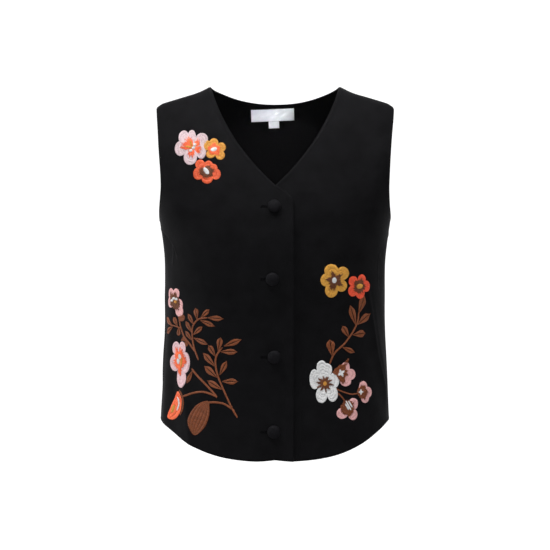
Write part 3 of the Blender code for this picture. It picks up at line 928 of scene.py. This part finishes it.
pale_pink = thread("pale_pink_thread", (0.49, 0.365, 0.39), (0.65, 0.515, 0.54))
coral = thread("coral_thread", (0.76, 0.092, 0.034), (0.94, 0.190, 0.072))
golden = thread("golden_thread", (0.48, 0.20, 0.030), (0.66, 0.31, 0.053))
orange = thread("orange_thread", (0.56, 0.060, 0.022), (0.73, 0.128, 0.047))
white = thread("white_thread", (0.58, 0.59, 0.60), (0.77, 0.77, 0.77))
dark_brown = thread("dark_brown_thread", (0.085, 0.028, 0.012), (0.165, 0.056, 0.024))

centre = (119.8, -93.7)
work = flower(-1, 11, centre, 9, pale_pink, (
    (135.0, -77.0, 7.8, 9.8), (122.6, -76.8, 6.3, 10.2), (139.6, -94.4, 8.7, 11.3),
    (124.2, -108.3, 10.2, 11.0), (107.0, -80.8, 9.2, 9.4), (107.5, -99.6, 7.2, 10.9),
))
work.fan(centre, ((-14, 16), (0, 22), (14, 19), (26, 20.5), (40, 18), (56, 21), (70, 19), (84, 13)), coral, 2.0)
work.fan(centre, ((104, 13), (118, 17), (132, 18), (146, 15), (158, 10)), coral, 5.0)
work.fan(centre, ((170, 12), (180, 16), (198, 13), (214, 16.5), (230, 12)), coral, 3.0)
work.fan(centre, ((254, 11), (272, 15.5), (288, 18), (304, 14), (318, 13.5), (332, 9)), coral, 3.0)
work.oval(126.3, -92.4, 5.6, 1.6, golden, 8, above=1.0)
work.oval(122.9, -87.8, 1.7, 4.6, golden, -22, above=1.0)
for s, z in ((117.2, -89.2), (119.4, -94.0), (123.3, -98.1)):
    work.oval(s, z, 2.3, 2.0, white, -20, above=1.3)
work.sew("pink_chest_flower")

centre = (88.9, -96.4)
work = flower(-1, 12, centre, 7, golden, (
    (89.2, -86.3, 6.6, 6.8), (77.8, -93.4, 6.5, 7.2), (79.3, -105.4, 6.8, 6.8),
    (93.8, -103.4, 7.0, 6.2), (99.3, -90.0, 6.1, 7.4),
))
work.fan(
    centre, ((20, 11.5), (45, 8), (90, 11.5), (130, 8), (165, 12), (195, 9.5), (230, 12.5), (270, 8),
    (310, 10.5), (345, 8.5)), coral, 1.5, jag=0.22, whole=True,
)
work.oval(89.0, -96.6, 4.7, 3.2, white, -15)
work.sew("yellow_chest_flower")

centre = (99.6, -129.4)
work = flower(-1, 13, centre, 9, orange, (
    (109.5, -118.2, 7.2, 7.3), (96.6, -119.2, 6.4, 6.5), (89.6, -124.0, 6.4, 6.4),
    (85.2, -133.2, 7.0, 8.2), (98.5, -140.0, 8.6, 7.4), (112.2, -132.0, 7.9, 9.3),
))
work.fan(
    centre, ((0, 13.5), (30, 12), (60, 9.5), (90, 10), (120, 12), (150, 11), (180, 14), (210, 12.5),
    (240, 11), (270, 11.5), (300, 11), (330, 12)), dark_brown, 2.5, whole=True,
)
work.oval(99.8, -128.6, 3.3, 5.8, white, -35)
work.sew("orange_chest_flower")

# The spray on the right front's side: a mauve flower and its twigs, two leaf sprays, a pink
# flower, a half bud and a folded leaf, in the same satin stitch.
brown = thread("brown_thread", (0.114, 0.031, 0.011), (0.236, 0.067, 0.023))
rose = thread("rose_thread", (0.61, 0.40, 0.43), (0.80, 0.56, 0.59))
mauve = thread("mauve_thread", (0.58, 0.285, 0.285), (0.81, 0.46, 0.46))

centre = (162.5, -317.5)
work = flower(-1, 21, centre, 9, mauve, (
    (173.5, -306.0, 9.0, 8.0), (158.8, -305.8, 7.4, 7.4), (174.0, -318.5, 11.0, 8.4),
    (152.6, -323.4, 8.4, 9.4), (151.6, -332.6, 8.4, 7.8),
))
work.fan(
    centre, ((0, 13), (25, 15), (48, 18), (75, 12), (100, 15), (135, 10), (165, 12), (200, 14), (232, 17),
    (258, 14), (300, 10), (335, 14)), dark_brown, 1.0, jag=0.25, whole=True,
)
for s, z in ((168.0, -316.2), (163.3, -313.2), (157.6, -314.3)):
    work.oval(s, z, 3.0, 1.9, white, 0)
work.oval(159.3, -318.2, 2.6, 2.4, golden, 0, above=1.2)
work.fill(ellipse(147.0, -341.5, 7.4, 5.4), 75, brown)
work.stem(
    ((152.0, -341.0), (151.8, -346.0), (148.7, -355.6), (141.2, -368.7), (131.5, -378.0), (121.5, -389.0)),
    3.0, brown,
)
work.stem(((172.1, -352.6), (163.0, -353.6), (150.5, -356.3)), 2.0, brown)
work.leaves((
    (168.5, -352.5, 192.0, -341.8, 8.7), (155.8, -354.0, 165.4, -340.8, 8.3),
    (166.6, -355.1, 185.4, -364.6, 9.9), (153.0, -354.8, 153.4, -368.1, 8.4),
    (143.4, -368.8, 143.3, -375.1, 8.8), (138.6, -373.0, 135.5, -383.6, 6.3),
), brown)
work.sew("mauve_flower")

work = Needlework(-1, 22)
work.stem(
    ((115.0, -401.6), (120.7, -388.7), (123.9, -377.2), (125.0, -368.4), (125.0, -356.9), (122.4, -350.7),
    (116.7, -344.5), (110.6, -342.1), (100.7, -340.7)), 2.8, brown,
)
work.leaves((
    (116.7, -343.5, 119.8, -326.8, 8.6), (110.6, -340.8, 96.2, -328.4, 7.5),
    (99.6, -340.7, 74.7, -342.2, 8.2), (111.4, -344.5, 87.7, -353.3, 7.6),
    (122.9, -350.7, 133.7, -335.0, 7.1), (126.1, -362.3, 138.3, -345.7, 7.2),
    (123.4, -365.7, 107.4, -353.6, 7.6), (126.0, -373.8, 138.7, -360.3, 6.7),
    (122.8, -370.1, 98.7, -379.8, 7.7),
), brown)
work.sew("upper_leaf_spray")

work = Needlework(-1, 23)
work.stem(
    ((54.5, -484.0), (62.5, -470.8), (69.5, -456.3), (77.4, -439.1), (83.5, -424.6), (86.6, -412.1),
    (87.2, -402.4), (84.6, -393.7), (77.4, -383.9)), 3.0, brown,
)
work.leaves((
    (83.1, -388.7, 79.3, -368.6, 9.4), (74.3, -381.7, 48.2, -371.8, 9.0), (79.7, -389.7, 53.6, -389.9, 9.0),
    (87.2, -396.8, 98.2, -380.3, 8.8), (88.3, -411.1, 106.9, -391.6, 9.5),
    (84.1, -427.5, 105.2, -410.6, 10.2), (80.5, -423.6, 69.9, -402.6, 8.5),
    (77.0, -444.3, 100.3, -431.8, 9.2), (77.0, -432.8, 53.1, -432.4, 9.0),
), brown)
work.sew("lower_leaf_spray")

centre = (149.8, -404.0)
work = flower(-1, 24, centre, 12, rose, (
    (158.4, -386.0, 7.8, 9.6), (145.0, -385.6, 7.2, 9.6), (161.0, -408.0, 11.4, 12.4),
    (137.4, -407.0, 8.0, 15.4), (145.6, -430.5, 10.2, 13.6),
))
work.fan(
    centre, ((-10, 17), (15, 13), (40, 16), (68, 23), (84, 17), (104, 23), (130, 14), (160, 14.5),
    (190, 16.5), (215, 13.5), (245, 15), (264, 24), (290, 15), (325, 15)), coral, 1.5, whole=True,
)
work.oval(145.6, -406.5, 1.9, 7.0, golden, 6)
work.oval(149.2, -398.4, 3.0, 3.6, white, -20)
work.oval(152.6, -405.4, 3.2, 3.9, white, -20)
work.stem(((126.1, -415.9), (115.5, -426.3), (102.4, -437.6), (89.8, -449.9), (85.2, -455.4)), 3.3, brown)
work.leaves(((124.8, -417.9, 134.3, -437.5, 7.1),), brown)
work.sew("pink_side_flower")

work = Needlework(-1, 25)
bud = spline(
    ((153.5, -449.1), (144.2, -459.0), (143.5, -469.3), (147.0, -480.0), (156.0, -488.5), (167.5, -491.4),
    (176.0, -488.0), (171.0, -476.0), (162.0, -461.0)), 120, closed=True,
)
work.fill(bud[:-1], 62, coral, split=(0.3, 0.62))
work.stem(
    ((153.3, -457.9), (150.2, -462.5), (149.2, -467.5), (151.0, -472.5), (154.0, -477.0)), 3.2, white, 0.7,
    slant=0.2, taper=0.7,
)
work.oval(163.2, -475.1, 3.4, 6.4, golden, 28, above=0.7)
work.stem(
    ((149.5, -447.5), (142.6, -454.5), (139.6, -464.0), (141.0, -473.5), (146.5, -483.5)), 3.0, brown, 0.25,
    slant=0.3, taper=0.6,
)
work.stem(((140.3, -456.4), (124.5, -450.9), (109.9, -448.5), (98.0, -450.1), (85.6, -454.7)), 3.0, brown)
work.sew("half_bud")

work = Needlework(-1, 26)
folded = spline(
    ((100.2, -461.4), (119.6, -469.6), (131.6, -490.6), (121.4, -511.2), (105.4, -501.0), (97.8, -485.0),
    (96.6, -470.4)), 140, closed=True,
)
work.fill(folded[:-1], 24, brown, split=(0.17, 0.36, 0.52, 0.68, 0.85))
work.stem(((100.2, -463.8), (87.6, -463.0), (74.4, -465.0), (62.4, -472.0)), 3.1, brown)
work.sew("folded_leaf")

# The left front, the same cloth cut as its mirror image. It lies under the lap, so its own edge
# shows only on the inside.
front_cloth("left_front_cloth", "left_front", +1)

# The left front's embroidery: two flowers at the chest, a stem with leaves, a white flower and
# three opening buds.
mustard = thread("mustard_thread", (0.50, 0.235, 0.035), (0.74, 0.38, 0.065))
orange_red = thread("orange_red_thread", (0.68, 0.057, 0.025), (0.89, 0.112, 0.048))

centre = (86.8, -286.8)
work = flower(1, 31, centre, 11, mustard, (
    (82.3, -272.8, 10.4, 9.6), (99.8, -276.4, 10.2, 9.4), (98.0, -294.6, 9.2, 8.8),
    (82.8, -301.8, 9.6, 10.2), (75.0, -286.6, 8.8, 9.6),
))
work.fan(
    centre, ((8, 9), (20, 11), (40, 19), (58, 10), (80, 10), (104, 18), (128, 9), (150, 11), (172, 15),
    (195, 9), (222, 11), (250, 18.5), (276, 15), (300, 9), (326, 18)), dark_brown, 2.5, whole=True,
)
work.oval(86.6, -286.6, 3.6, 4.0, white, 0)
work.sew("mustard_flower")

centre = (128.3, -295.6)
work = flower(1, 32, centre, 9, orange_red, (
    (133.0, -285.0, 7.4, 7.2), (141.6, -295.2, 8.2, 8.2), (130.2, -306.0, 8.2, 8.0),
    (116.4, -302.2, 7.9, 8.2), (117.0, -288.0, 7.8, 7.6),
))
work.fan(
    centre, ((5, 13.5), (35, 11), (68, 13.5), (105, 10.5), (140, 13.5), (175, 11), (210, 13.5), (245, 11),
    (285, 13.5), (325, 11)), dark_brown, 2.5, whole=True,
)
work.oval(128.2, -295.2, 5.4, 3.8, mustard, 10)
work.sew("orange_red_flower")

work = Needlework(1, 33)
work.stem(
    ((127.5, -334.0), (125.3, -346.5), (117.8, -360.5), (109.5, -371.0), (101.7, -379.6), (90.0, -389.6),
    (84.3, -398.3), (80.8, -407.0)), 2.8, brown,
)
work.leaves((
    (127.5, -335.1, 138.5, -308.8, 12.4), (122.0, -351.9, 112.2, -322.1, 11.4),
    (125.2, -350.9, 148.6, -335.4, 11.7), (110.5, -369.7, 99.3, -352.4, 9.7),
    (116.8, -365.8, 140.1, -363.6, 11.2), (84.3, -396.6, 80.5, -371.5, 12.6),
    (99.9, -383.6, 120.6, -391.9, 7.6),
), brown)
work.sew("left_leaf_stem")

centre = (72.6, -436.0)
work = flower(1, 34, centre, 12, white, (
    (68.4, -412.4, 7.4, 10.2), (76.4, -415.6, 7.6, 9.2), (57.6, -429.4, 7.4, 14.4), (87.8, -431.0, 7.6, 11.4),
    (68.2, -452.6, 8.4, 11.4), (84.6, -450.8, 8.0, 11.6),
))
work.fan(
    centre, tuple((k * 18 + 10, 15.5 if k % 2 else 7.5) for k in range(20)), dark_brown, 2.0, jag=0.3,
    whole=True,
)
work.oval(73.0, -435.8, 2.9, 2.9, golden, 0)
work.sew("white_flower")

work = Needlework(1, 35)
work.stem(((89.9, -443.8), (101.2, -448.4), (114.0, -452.0), (125.4, -451.1)), 2.1, brown, above=-0.1)
work.stem(((92.7, -450.1), (99.3, -456.5), (103.1, -461.8)), 2.3, brown, above=-0.1)
centre = (97.5, -421.0)
work.rings(
    centre, lobed(centre, ((105.2, -412.8, 6.8, 8.0), (113.6, -423.4, 8.0, 8.0), (105.2, -433.8, 8.8, 6.8)),
    8), mauve, BUD_CUTS,
)
work.fan(
    centre, ((-66, 17), (-50, 10), (-30, 9), (-14, 14), (0, 9), (18, 13), (36, 9), (52, 13), (58, 27),
    (63, 27), (70, 15), (92, 13), (125, 11), (155, 12), (175, 14), (200, 9), (235, 9), (262, 12), (280, 17),
    (294, 17)), brown, 1.5, jag=0.15,
)
work.fan(
    centre, ((35, 7), (70, 2.4), (110, 6.4), (160, 2.6), (215, 6.6), (255, 2.4), (300, 7), (350, 2.6)), white,
    0.3, jag=0.05, above=1.1, whole=True,
)
centre = (130.2, -449.8)
work.rings(
    centre, lobed(centre, ((134.8, -441.4, 7.4, 8.2), (143.6, -450.4, 7.8, 8.2), (138.4, -458.6, 7.4, 7.4)),
    6), mauve, BUD_CUTS,
)
work.fan(
    centre, ((-80, 11), (-52, 16), (-25, 12.5), (0, 15), (30, 12), (58, 14.5), (100, 10), (150, 7),
    (190, 6.5), (240, 7), (280, 11)), brown, 1.5, jag=0.25,
)
work.fan(
    (129.7, -449.3), tuple((k * 45, 1.8 if k % 2 else 5.0) for k in range(8)), white, 0.3, jag=0.05,
    above=1.1, whole=True,
)
centre = (108.0, -471.6)
work.rings(
    centre, lobed(centre, ((117.4, -466.2, 8.2, 8.8), (99.0, -479.4, 9.0, 8.0), (116.6, -481.6, 7.8, 8.2)),
    9), mauve, BUD_CUTS,
)
work.fan(
    centre, ((-130, 14), (-105, 11), (-80, 15.5), (-50, 12), (-20, 12.5), (10, 11), (40, 13), (75, 11),
    (115, 13), (150, 12), (190, 13), (230, 14)), brown, 1.5, jag=0.2,
)
for a, b, c, d in (
    (104.6, -461.6, 112.4, -474.6), (108.8, -461.8, 114.6, -470.6), (103.6, -465.4, 108.8, -474.0),
):
    work.stem(((a, b), (c, d)), 2.6, white, 1.1, slant=0.2, taper=0.5)
work.sew("opening_buds")

# The back, one piece of the same cloth from side seam to side seam, with two waist darts. It is
# sewn to the fronts at the sides and shoulders, with the allowances pressed open.
BACK_NECK_DROP = 0.020
BACK_NECK_ROUND = 2.2
BACK_HEM = -0.526
BACK_ACROSS = 176
BACK_SHOULDER = 34
BACK_MIDDLE = 1.9  # the angle past which the back has no underarm

left = side_line(behind=True)
right = (2 * math.pi - left[0], left[1])
reach = np.linspace(-1, 1, BACK_ACROSS + 1)
share = 0.5 + 0.5 * np.sign(reach) * (1 - (1 - np.abs(reach)) ** SIDE_CROWDING)
hem_angles = left[0][0] + (right[0][0] - left[0][0]) * share
hem = (hem_angles, hem_line(hem_angles - math.pi, BACK_HEM))
corners = (0, BACK_SHOULDER, BACK_ACROSS - BACK_SHOULDER, BACK_ACROSS)
top_x = np.interp(
    np.arange(BACK_ACROSS + 1), corners, (TIP_HALF, NECK_HALF, -NECK_HALF, -TIP_HALF)
)
dip = 1 - np.clip(np.abs(top_x) / NECK_HALF, 0, 1) ** BACK_NECK_ROUND
top_height = np.where(dip > 0, float(shoulder_line(NECK_HALF)) - BACK_NECK_DROP * dip, shoulder_line(top_x))
top = (math.pi - angle_at(top_x, top_height), top_height)
angle, height = between(left, right, hem, top, share)
base = form(angle, height, 1)
normal = outward(base, 1)
for side in (0, -1):
    square_to_seam(normal, slice(0, ROWS_BELOW + 1), side)
square_to_seam(normal, -1, slice(0, BACK_SHOULDER + 1))
square_to_seam(normal, -1, slice(-BACK_SHOULDER - 1, None))
near = np.minimum(angle, 2 * math.pi - angle)
lift = np.zeros_like(angle)
for hand, mine in ((1, angle <= math.pi), (-1, angle > math.pi)):
    lift += np.where(mine, worn_lift(near, height, hand), 0)
neck = np.zeros(len(top_x), dtype=bool)
neck[BACK_SHOULDER:-BACK_SHOULDER] = True
armhole = np.arange(len(base)) > ROWS_BELOW
gap = from_edges(base, start=False, end=False)
gap = np.minimum(gap, np.where(neck, from_edges(base, False, False, False, True), 1))
gap = np.minimum(gap, np.where(armhole[:, None], from_edges(base, low=False), 1))
lift = lift - edge_sink(gap) * np.where(near > BACK_MIDDLE, 1, away_from_underarm(height))
far = round_from_front(near, height)
whole = round_from_front(np.full_like(near, math.pi - 1e-9), height)
places = np.stack([np.where(angle <= math.pi, far, 2 * whole - far), height], axis=-1)
outer = base + normal * lift[..., None]
back = shell("back_cloth", outer, normal, CLOTH, places, (black_cloth, black_lining_and_painted_shade), "back")

# The neck label, a white woven satin band with a small tab under it, both left bare. The band's
# ends are turned under and stitched down inside the back neck, and its middle stands off a little.
LABEL_CLOTH = 0.0008
LABEL_GAP = 0.0007
LABEL_WIDTH = 0.0664
LABEL_HEIGHT = 0.0181
LABEL_X = -0.004
LABEL_TOP = -0.0230
LABEL_TILT = math.radians(2.2)
LABEL_STAND = 0.0009
LABEL_PITCH = 0.00030
LABEL_REACH = 0.001
TAB_WIDTH = 0.0162
TAB_HEIGHT = 0.0104
TAB_X = -0.0025
TAB_STAND = 0.0004
TAB_GAP = 0.0003


def on_label(right, drop):
    """Points on the inside of the back neck by place from the label's top centre, and the way in."""
    def at(right, drop):
        x = LABEL_X + right * math.cos(LABEL_TILT) + drop * math.sin(LABEL_TILT)
        z = LABEL_TOP + right * math.sin(LABEL_TILT) - drop * math.cos(LABEL_TILT)
        return form(math.pi - angle_at(x, z), z, 1)

    across = at(right + LABEL_REACH, drop) - at(right - LABEL_REACH, drop)
    down = at(right, drop + LABEL_REACH) - at(right, drop - LABEL_REACH)
    inward = unit(np.cross(down, across))
    return at(right, drop), inward * np.sign(-inward[..., 1:2])


label_satin, tree, shader = blank("label_satin")
height, uneven, place = plain_weave(tree, LABEL_PITCH)
ribs = node(tree, "ShaderNodeTexWave", {"bands_direction": "Y"}, Vector=place, Scale=620.0, Distortion=0.0)
woven = maths(tree, "MULTIPLY_ADD", ribs.outputs["Fac"], 0.35, uneven)
finish(
    tree, shader, woven, ((0.76, 0.77, 0.84), (0.92, 0.93, 0.98)), (0.6, 1.5),
    height, (0.12, 0.00012), Roughness=0.6, Specular_IOR_Level=0.15,
)


def woven_band(name, node_name, right, drop, width, height, stand, across=72, down=22):
    """A woven band with soft edges, standing off the cloth by this much in its middle."""
    u = np.linspace(-0.5, 0.5, across + 1)[None, :] + np.zeros((down + 1, 1))
    v = np.linspace(1, 0, down + 1)[:, None] + np.zeros((1, across + 1))
    points, inward = on_label(right + u * width, drop + v * height)
    bow = stand * np.cos(math.pi * u) ** 0.7 * (0.55 + 0.45 * v)
    bow += 0.00012 * np.sin(31 * u + 9 * v) + 0.0001 * np.sin(23 * v + 40 * u)
    off = CLOTH + LABEL_GAP + LABEL_CLOTH + bow
    outer = points + inward * off[..., None]
    places = np.stack([u * width, -v * height], axis=-1)
    shell(name, outer, inward, LABEL_CLOTH, places, (label_satin, label_satin), node_name)


woven_band("neck_label_band", "neck_label", 0, 0, LABEL_WIDTH, LABEL_HEIGHT, LABEL_STAND)
woven_band(
    "size_tab_band", "size_tab", TAB_X - LABEL_X, LABEL_HEIGHT + TAB_GAP, TAB_WIDTH, TAB_HEIGHT, TAB_STAND,
    across=24, down=16,
)


def on_band(s, z, hand):
    """The label's own face, for the stitches that hold it."""
    points, inward = on_label(s, -z)
    return points + inward * (CLOTH + LABEL_GAP + LABEL_CLOTH), inward


END_STITCHES = 6
END_STITCH_PITCH = 3.0
END_STITCH_INSET = 1.6
END_STITCH_TOP = -1.9
work = Needlework(1, 41)
for end in (-1, 1):
    for k in range(END_STITCHES):
        s = end * (LABEL_WIDTH / MM / 2 - END_STITCH_INSET)
        z = END_STITCH_TOP - END_STITCH_PITCH * k
        work.stitch((s, z + 1.1), (s + 0.15, z - 1.1), white, 0.05, width=0.45, rise=0.25)
work.sew("label_stitches", on_band, "label_band")

# The buttonholes, worked in black thread through the right front: two close rows of stitches and
# a bar at each end. The body's pull holds each button at the end near the lap.
BUTTON_X = -0.001
BUTTON_TOP = -0.179
BUTTON_PITCH = 0.1085
BUTTON_COUNT = 4
BUTTON_STRAY = ((0.0, -0.0020), (-0.0028, 0.0028), (0.0, -0.0008), (-0.0006, 0.0))  # sewn on by hand
HOLE_START = -2.5
HOLE_END = 19.5
HOLE_PITCH = 0.55
HOLE_GAP = 0.12
HOLE_REACH = 1.75
BAR_PITCH = 0.5
BAR_REACH = 1.9
black_thread = thread("black_thread", (0.0020, 0.0020, 0.0023), (0.0040, 0.0039, 0.0046), gloss=0.03)
work = Needlework(-1, 51)
for k in range(BUTTON_COUNT):
    level = (BUTTON_TOP - BUTTON_PITCH * k + BUTTON_STRAY[k][1]) / MM
    for s in np.arange(HOLE_START, HOLE_END, HOLE_PITCH):
        for side in (-1, 1):
            ends = (s, level + side * HOLE_GAP), (s, level + side * HOLE_REACH)
            work.stitch(*ends, black_thread, 0.0, width=0.62, rise=0.4)
    for s in (HOLE_START - 0.5, HOLE_END + 0.2):
        for step in (-BAR_PITCH, 0.0, BAR_PITCH):
            ends = (s + step, level - BAR_REACH), (s + step, level + BAR_REACH)
            work.stitch(*ends, black_thread, 0.15, width=0.6, rise=0.45)
work.sew("buttonholes")

# The four covered buttons: a metal dome 19 mm across with the waistcoat's cloth drawn over it and
# gathered in behind, on a short shank of thread.
BUTTON_GAP = 0.0005
BUTTON_PROFILE = (
    (0.0078, 0.0000), (0.0089, 0.0005), (0.0094, 0.0013), (0.0095, 0.0021), (0.0092, 0.0031),
    (0.0085, 0.0042), (0.0074, 0.0051), (0.0059, 0.0059), (0.0040, 0.0064), (0.0020, 0.0067), (0.0006, 0.0068),
)
BUTTON_SIDES = 72
BUTTON_REACH = 0.002
TUCKS = 14
TUCK_DEPTH = 0.016
TUCK_HEIGHT = 0.0026

covered_button, tree, shader = blank("covered_button")
height, uneven, place = plain_weave(tree, WEAVE_PITCH)
finish(
    tree, shader, uneven, ((0.0027, 0.0026, 0.0034), (0.0050, 0.0047, 0.0062)), (0.7, 1.35),
    height, (0.45, 0.00025), Roughness=0.66, Specular_IOR_Level=0.08, Sheen_Weight=0.02, Sheen_Roughness=0.35,
)


def turned(name, profile, sides, tucks, base, axis, material, slot_name, node_name=None):
    """A shape turned about an axis, its rim drawn into tucks that fade towards the crown."""
    start = Vector(axis).to_track_quat("Z", "Y").to_matrix()
    turns = np.linspace(0, 2 * math.pi, sides, endpoint=False)
    verts, uv = [], []
    for radius, level in profile:
        fade = max(0.0, 1 - level / TUCK_HEIGHT) if tucks else 0.0
        rings = radius * (1 - TUCK_DEPTH * fade * (1 + np.cos(tucks * turns + 0.6 * np.sin(3 * turns))))
        for turn, r in zip(turns, rings):
            place = (r * math.cos(turn), r * math.sin(turn), level)
            verts.append(Vector(base) + start @ Vector(place))
            uv.append((place[0], place[1] + 0.4 * level))
    faces = []
    for ring in range(len(profile) - 1):
        for k in range(sides):
            a, b = ring * sides + k, ring * sides + (k + 1) % sides
            faces.append((a, b, b + sides, a + sides))
    faces.append(tuple(range(sides - 1, -1, -1)))
    faces.append(tuple(range(len(verts) - sides, len(verts))))
    finishes = np.zeros(len(faces), dtype=np.int32)
    made_up(name, verts, faces, np.array(uv), [material], finishes, node_name)


def on_form(x, z):
    """Points of the right front's form, by place across and up."""
    return form(angle_at(x, z), z, -1)


SHANK_SIDES = 20
SHANK_DROP = 0.0011
SHANK_PROFILE = ((0.0026, 0.0), (0.0021, 0.0003), (0.0019, 0.0007), (0.0022, 0.0011), (0.0026, 0.0013))
for k in range(BUTTON_COUNT):
    x = np.array([-BUTTON_X - BUTTON_STRAY[k][0]])
    z = np.array([BUTTON_TOP - BUTTON_PITCH * k + BUTTON_STRAY[k][1]])
    across = on_form(x + BUTTON_REACH, z) - on_form(x - BUTTON_REACH, z)
    up = on_form(x, z + BUTTON_REACH) - on_form(x, z - BUTTON_REACH)
    axis = -unit(np.cross(across, up))[0]
    base = on_form(x, z)[0] + axis * (CLOTH + LAP_GAP + BUTTON_GAP)
    button = f"button_{k + 1}"
    turned(
        button + "_cover", BUTTON_PROFILE, BUTTON_SIDES, TUCKS,
        base, axis, covered_button, "covered_button", button,
    )
    below = base - axis * SHANK_DROP
    turned(button + "_shank", SHANK_PROFILE, SHANK_SIDES, 0, below, axis, black_thread, "embroidery")

# The room: a wide pale bowl for a floor that glows behind the waistcoat, soft boxes above, at the
# sides, behind and in front, a small lamp on the neck, and the camera at the photograph's distance.
FLOOR_TOP = -0.86
FLOOR_RADIUS = 3.6
BOWL_RADIUS = 1.8
WALL_TOP = 3.2
TURN_STEPS = 96
BOWL_STEPS = 12
GLOW_FROM, GLOW_TO = 0.1, 1.3
GLOW_LOW, GLOW_HIGH = 0.30, 0.95
FALL_FROM, FALL_TO, FALL_LOW = 1.5, 2.6, 0.15
ROOM_LIGHT = 0.12
profile = [(0.0, FLOOR_TOP), (FLOOR_RADIUS, FLOOR_TOP)]
for k in range(1, BOWL_STEPS + 1):
    turn = QUARTER * k / BOWL_STEPS
    out, up = BOWL_RADIUS * math.sin(turn), BOWL_RADIUS * (1 - math.cos(turn))
    profile.append((FLOOR_RADIUS + out, FLOOR_TOP + up))
profile.append((FLOOR_RADIUS + BOWL_RADIUS, WALL_TOP))
floor_verts = [(0, 0, FLOOR_TOP)]
for radius, level in profile[1:]:
    for k in range(TURN_STEPS):
        turn = 2 * math.pi * k / TURN_STEPS
        floor_verts.append((radius * math.cos(turn), radius * math.sin(turn), level))
floor_faces = [(0, 1 + k, 1 + (k + 1) % TURN_STEPS) for k in range(TURN_STEPS)]
for ring in range(len(profile) - 2):
    for k in range(TURN_STEPS):
        a = 1 + ring * TURN_STEPS + k
        b = 1 + ring * TURN_STEPS + (k + 1) % TURN_STEPS
        floor_faces.append((a, a + TURN_STEPS, b + TURN_STEPS, b))
floor_mesh = bpy.data.meshes.new("floor")
floor_mesh.from_pydata(floor_verts, [], floor_faces)
floor_mesh.shade_smooth()
floor = bpy.data.objects.new("floor", floor_mesh)
bpy.context.scene.collection.objects.link(floor)
floor_finish, tree, shader = blank("pale_floor")
speck = node(tree, "ShaderNodeTexNoise", Scale=3.0, Detail=2.0)
tint = ramp(tree, speck.outputs["Fac"], (0.30, 0.30, 0.30), (0.34, 0.34, 0.34))
tree.links.new(tint, shader.inputs["Base Color"])
shader.inputs["Roughness"].default_value = 0.9
shader.inputs["Emission Color"].default_value = (1, 1, 1, 1)
spot = node(tree, "ShaderNodeNewGeometry")
spot = node(tree, "ShaderNodeSeparateXYZ", _0=spot.outputs["Position"])
glow = node(
    tree, "ShaderNodeMapRange", _0=spot.outputs["Y"], _1=GLOW_FROM, _2=GLOW_TO, _3=GLOW_LOW, _4=GLOW_HIGH
)
aside = maths(tree, "ABSOLUTE", spot.outputs["X"])
fall = node(tree, "ShaderNodeMapRange", _0=aside, _1=FALL_FROM, _2=FALL_TO, _3=1.0, _4=FALL_LOW)
shine = maths(tree, "MULTIPLY", glow.outputs[0], fall.outputs[0])
tree.links.new(shine, shader.inputs["Emission Strength"])
floor_mesh.materials.append(floor_finish)

world = bpy.data.worlds.new("white_room")
world.use_nodes = True
world.node_tree.nodes["Background"].inputs["Color"].default_value = (1, 1, 1, 1)
world.node_tree.nodes["Background"].inputs["Strength"].default_value = ROOM_LIGHT
bpy.context.scene.world = world

LIGHTS = (
    ("key_box", (-0.85, -0.9, 2.0), (1.0, 1.0), 62),
    ("front_box", (0.3, -2.4, 0.35), (0.9, 0.9), 8),
    ("top_box", (0.75, -0.6, 1.9), (0.8, 0.8), 28),
    ("side_box_right", (-1.9, 0.3, -0.6), (0.5, 1.0), 20),
    ("side_box_left", (1.9, 0.6, -0.6), (0.5, 1.0), 4),
    ("back_box", (0.1, 1.5, 1.3), (1.0, 0.9), 5),
    ("neck_box", (0.0, -2.4, 0.75), (0.16, 0.16), 0.085),
)
NECK_AIM = Vector((-0.004, 0.06, -0.035))
NECK_SPREAD = math.radians(5)
AIM = Vector((0, 0, -0.28))
for name, place, size, watts in LIGHTS:
    lamp = bpy.data.lights.new(name, "AREA")
    lamp.shape = "RECTANGLE"
    lamp.size, lamp.size_y = size
    lamp.energy = watts
    box = bpy.data.objects.new(name, lamp)
    box.location = place
    aim = AIM
    if name == "neck_box":
        lamp.spread = NECK_SPREAD
        aim = NECK_AIM
    box.rotation_euler = (aim - Vector(place)).to_track_quat("-Z", "Y").to_euler()
    bpy.context.scene.collection.objects.link(box)

CAMERA_DISTANCE = 2.6
CAMERA_HEIGHT = -0.279
VIEW_WIDTH = 0.825
SENSOR = 36
camera = bpy.data.cameras.new("camera")
camera.sensor_width = SENSOR
camera.sensor_height = SENSOR
camera.lens = SENSOR * CAMERA_DISTANCE / VIEW_WIDTH
camera.clip_end = 40
camera_holder = bpy.data.objects.new("camera", camera)
camera_holder.location = (0, -CAMERA_DISTANCE, CAMERA_HEIGHT)
camera_holder.rotation_euler = (QUARTER, 0, 0)
bpy.context.scene.collection.objects.link(camera_holder)
bpy.context.scene.camera = camera_holder
bpy.context.scene.view_settings.view_transform = "Standard"
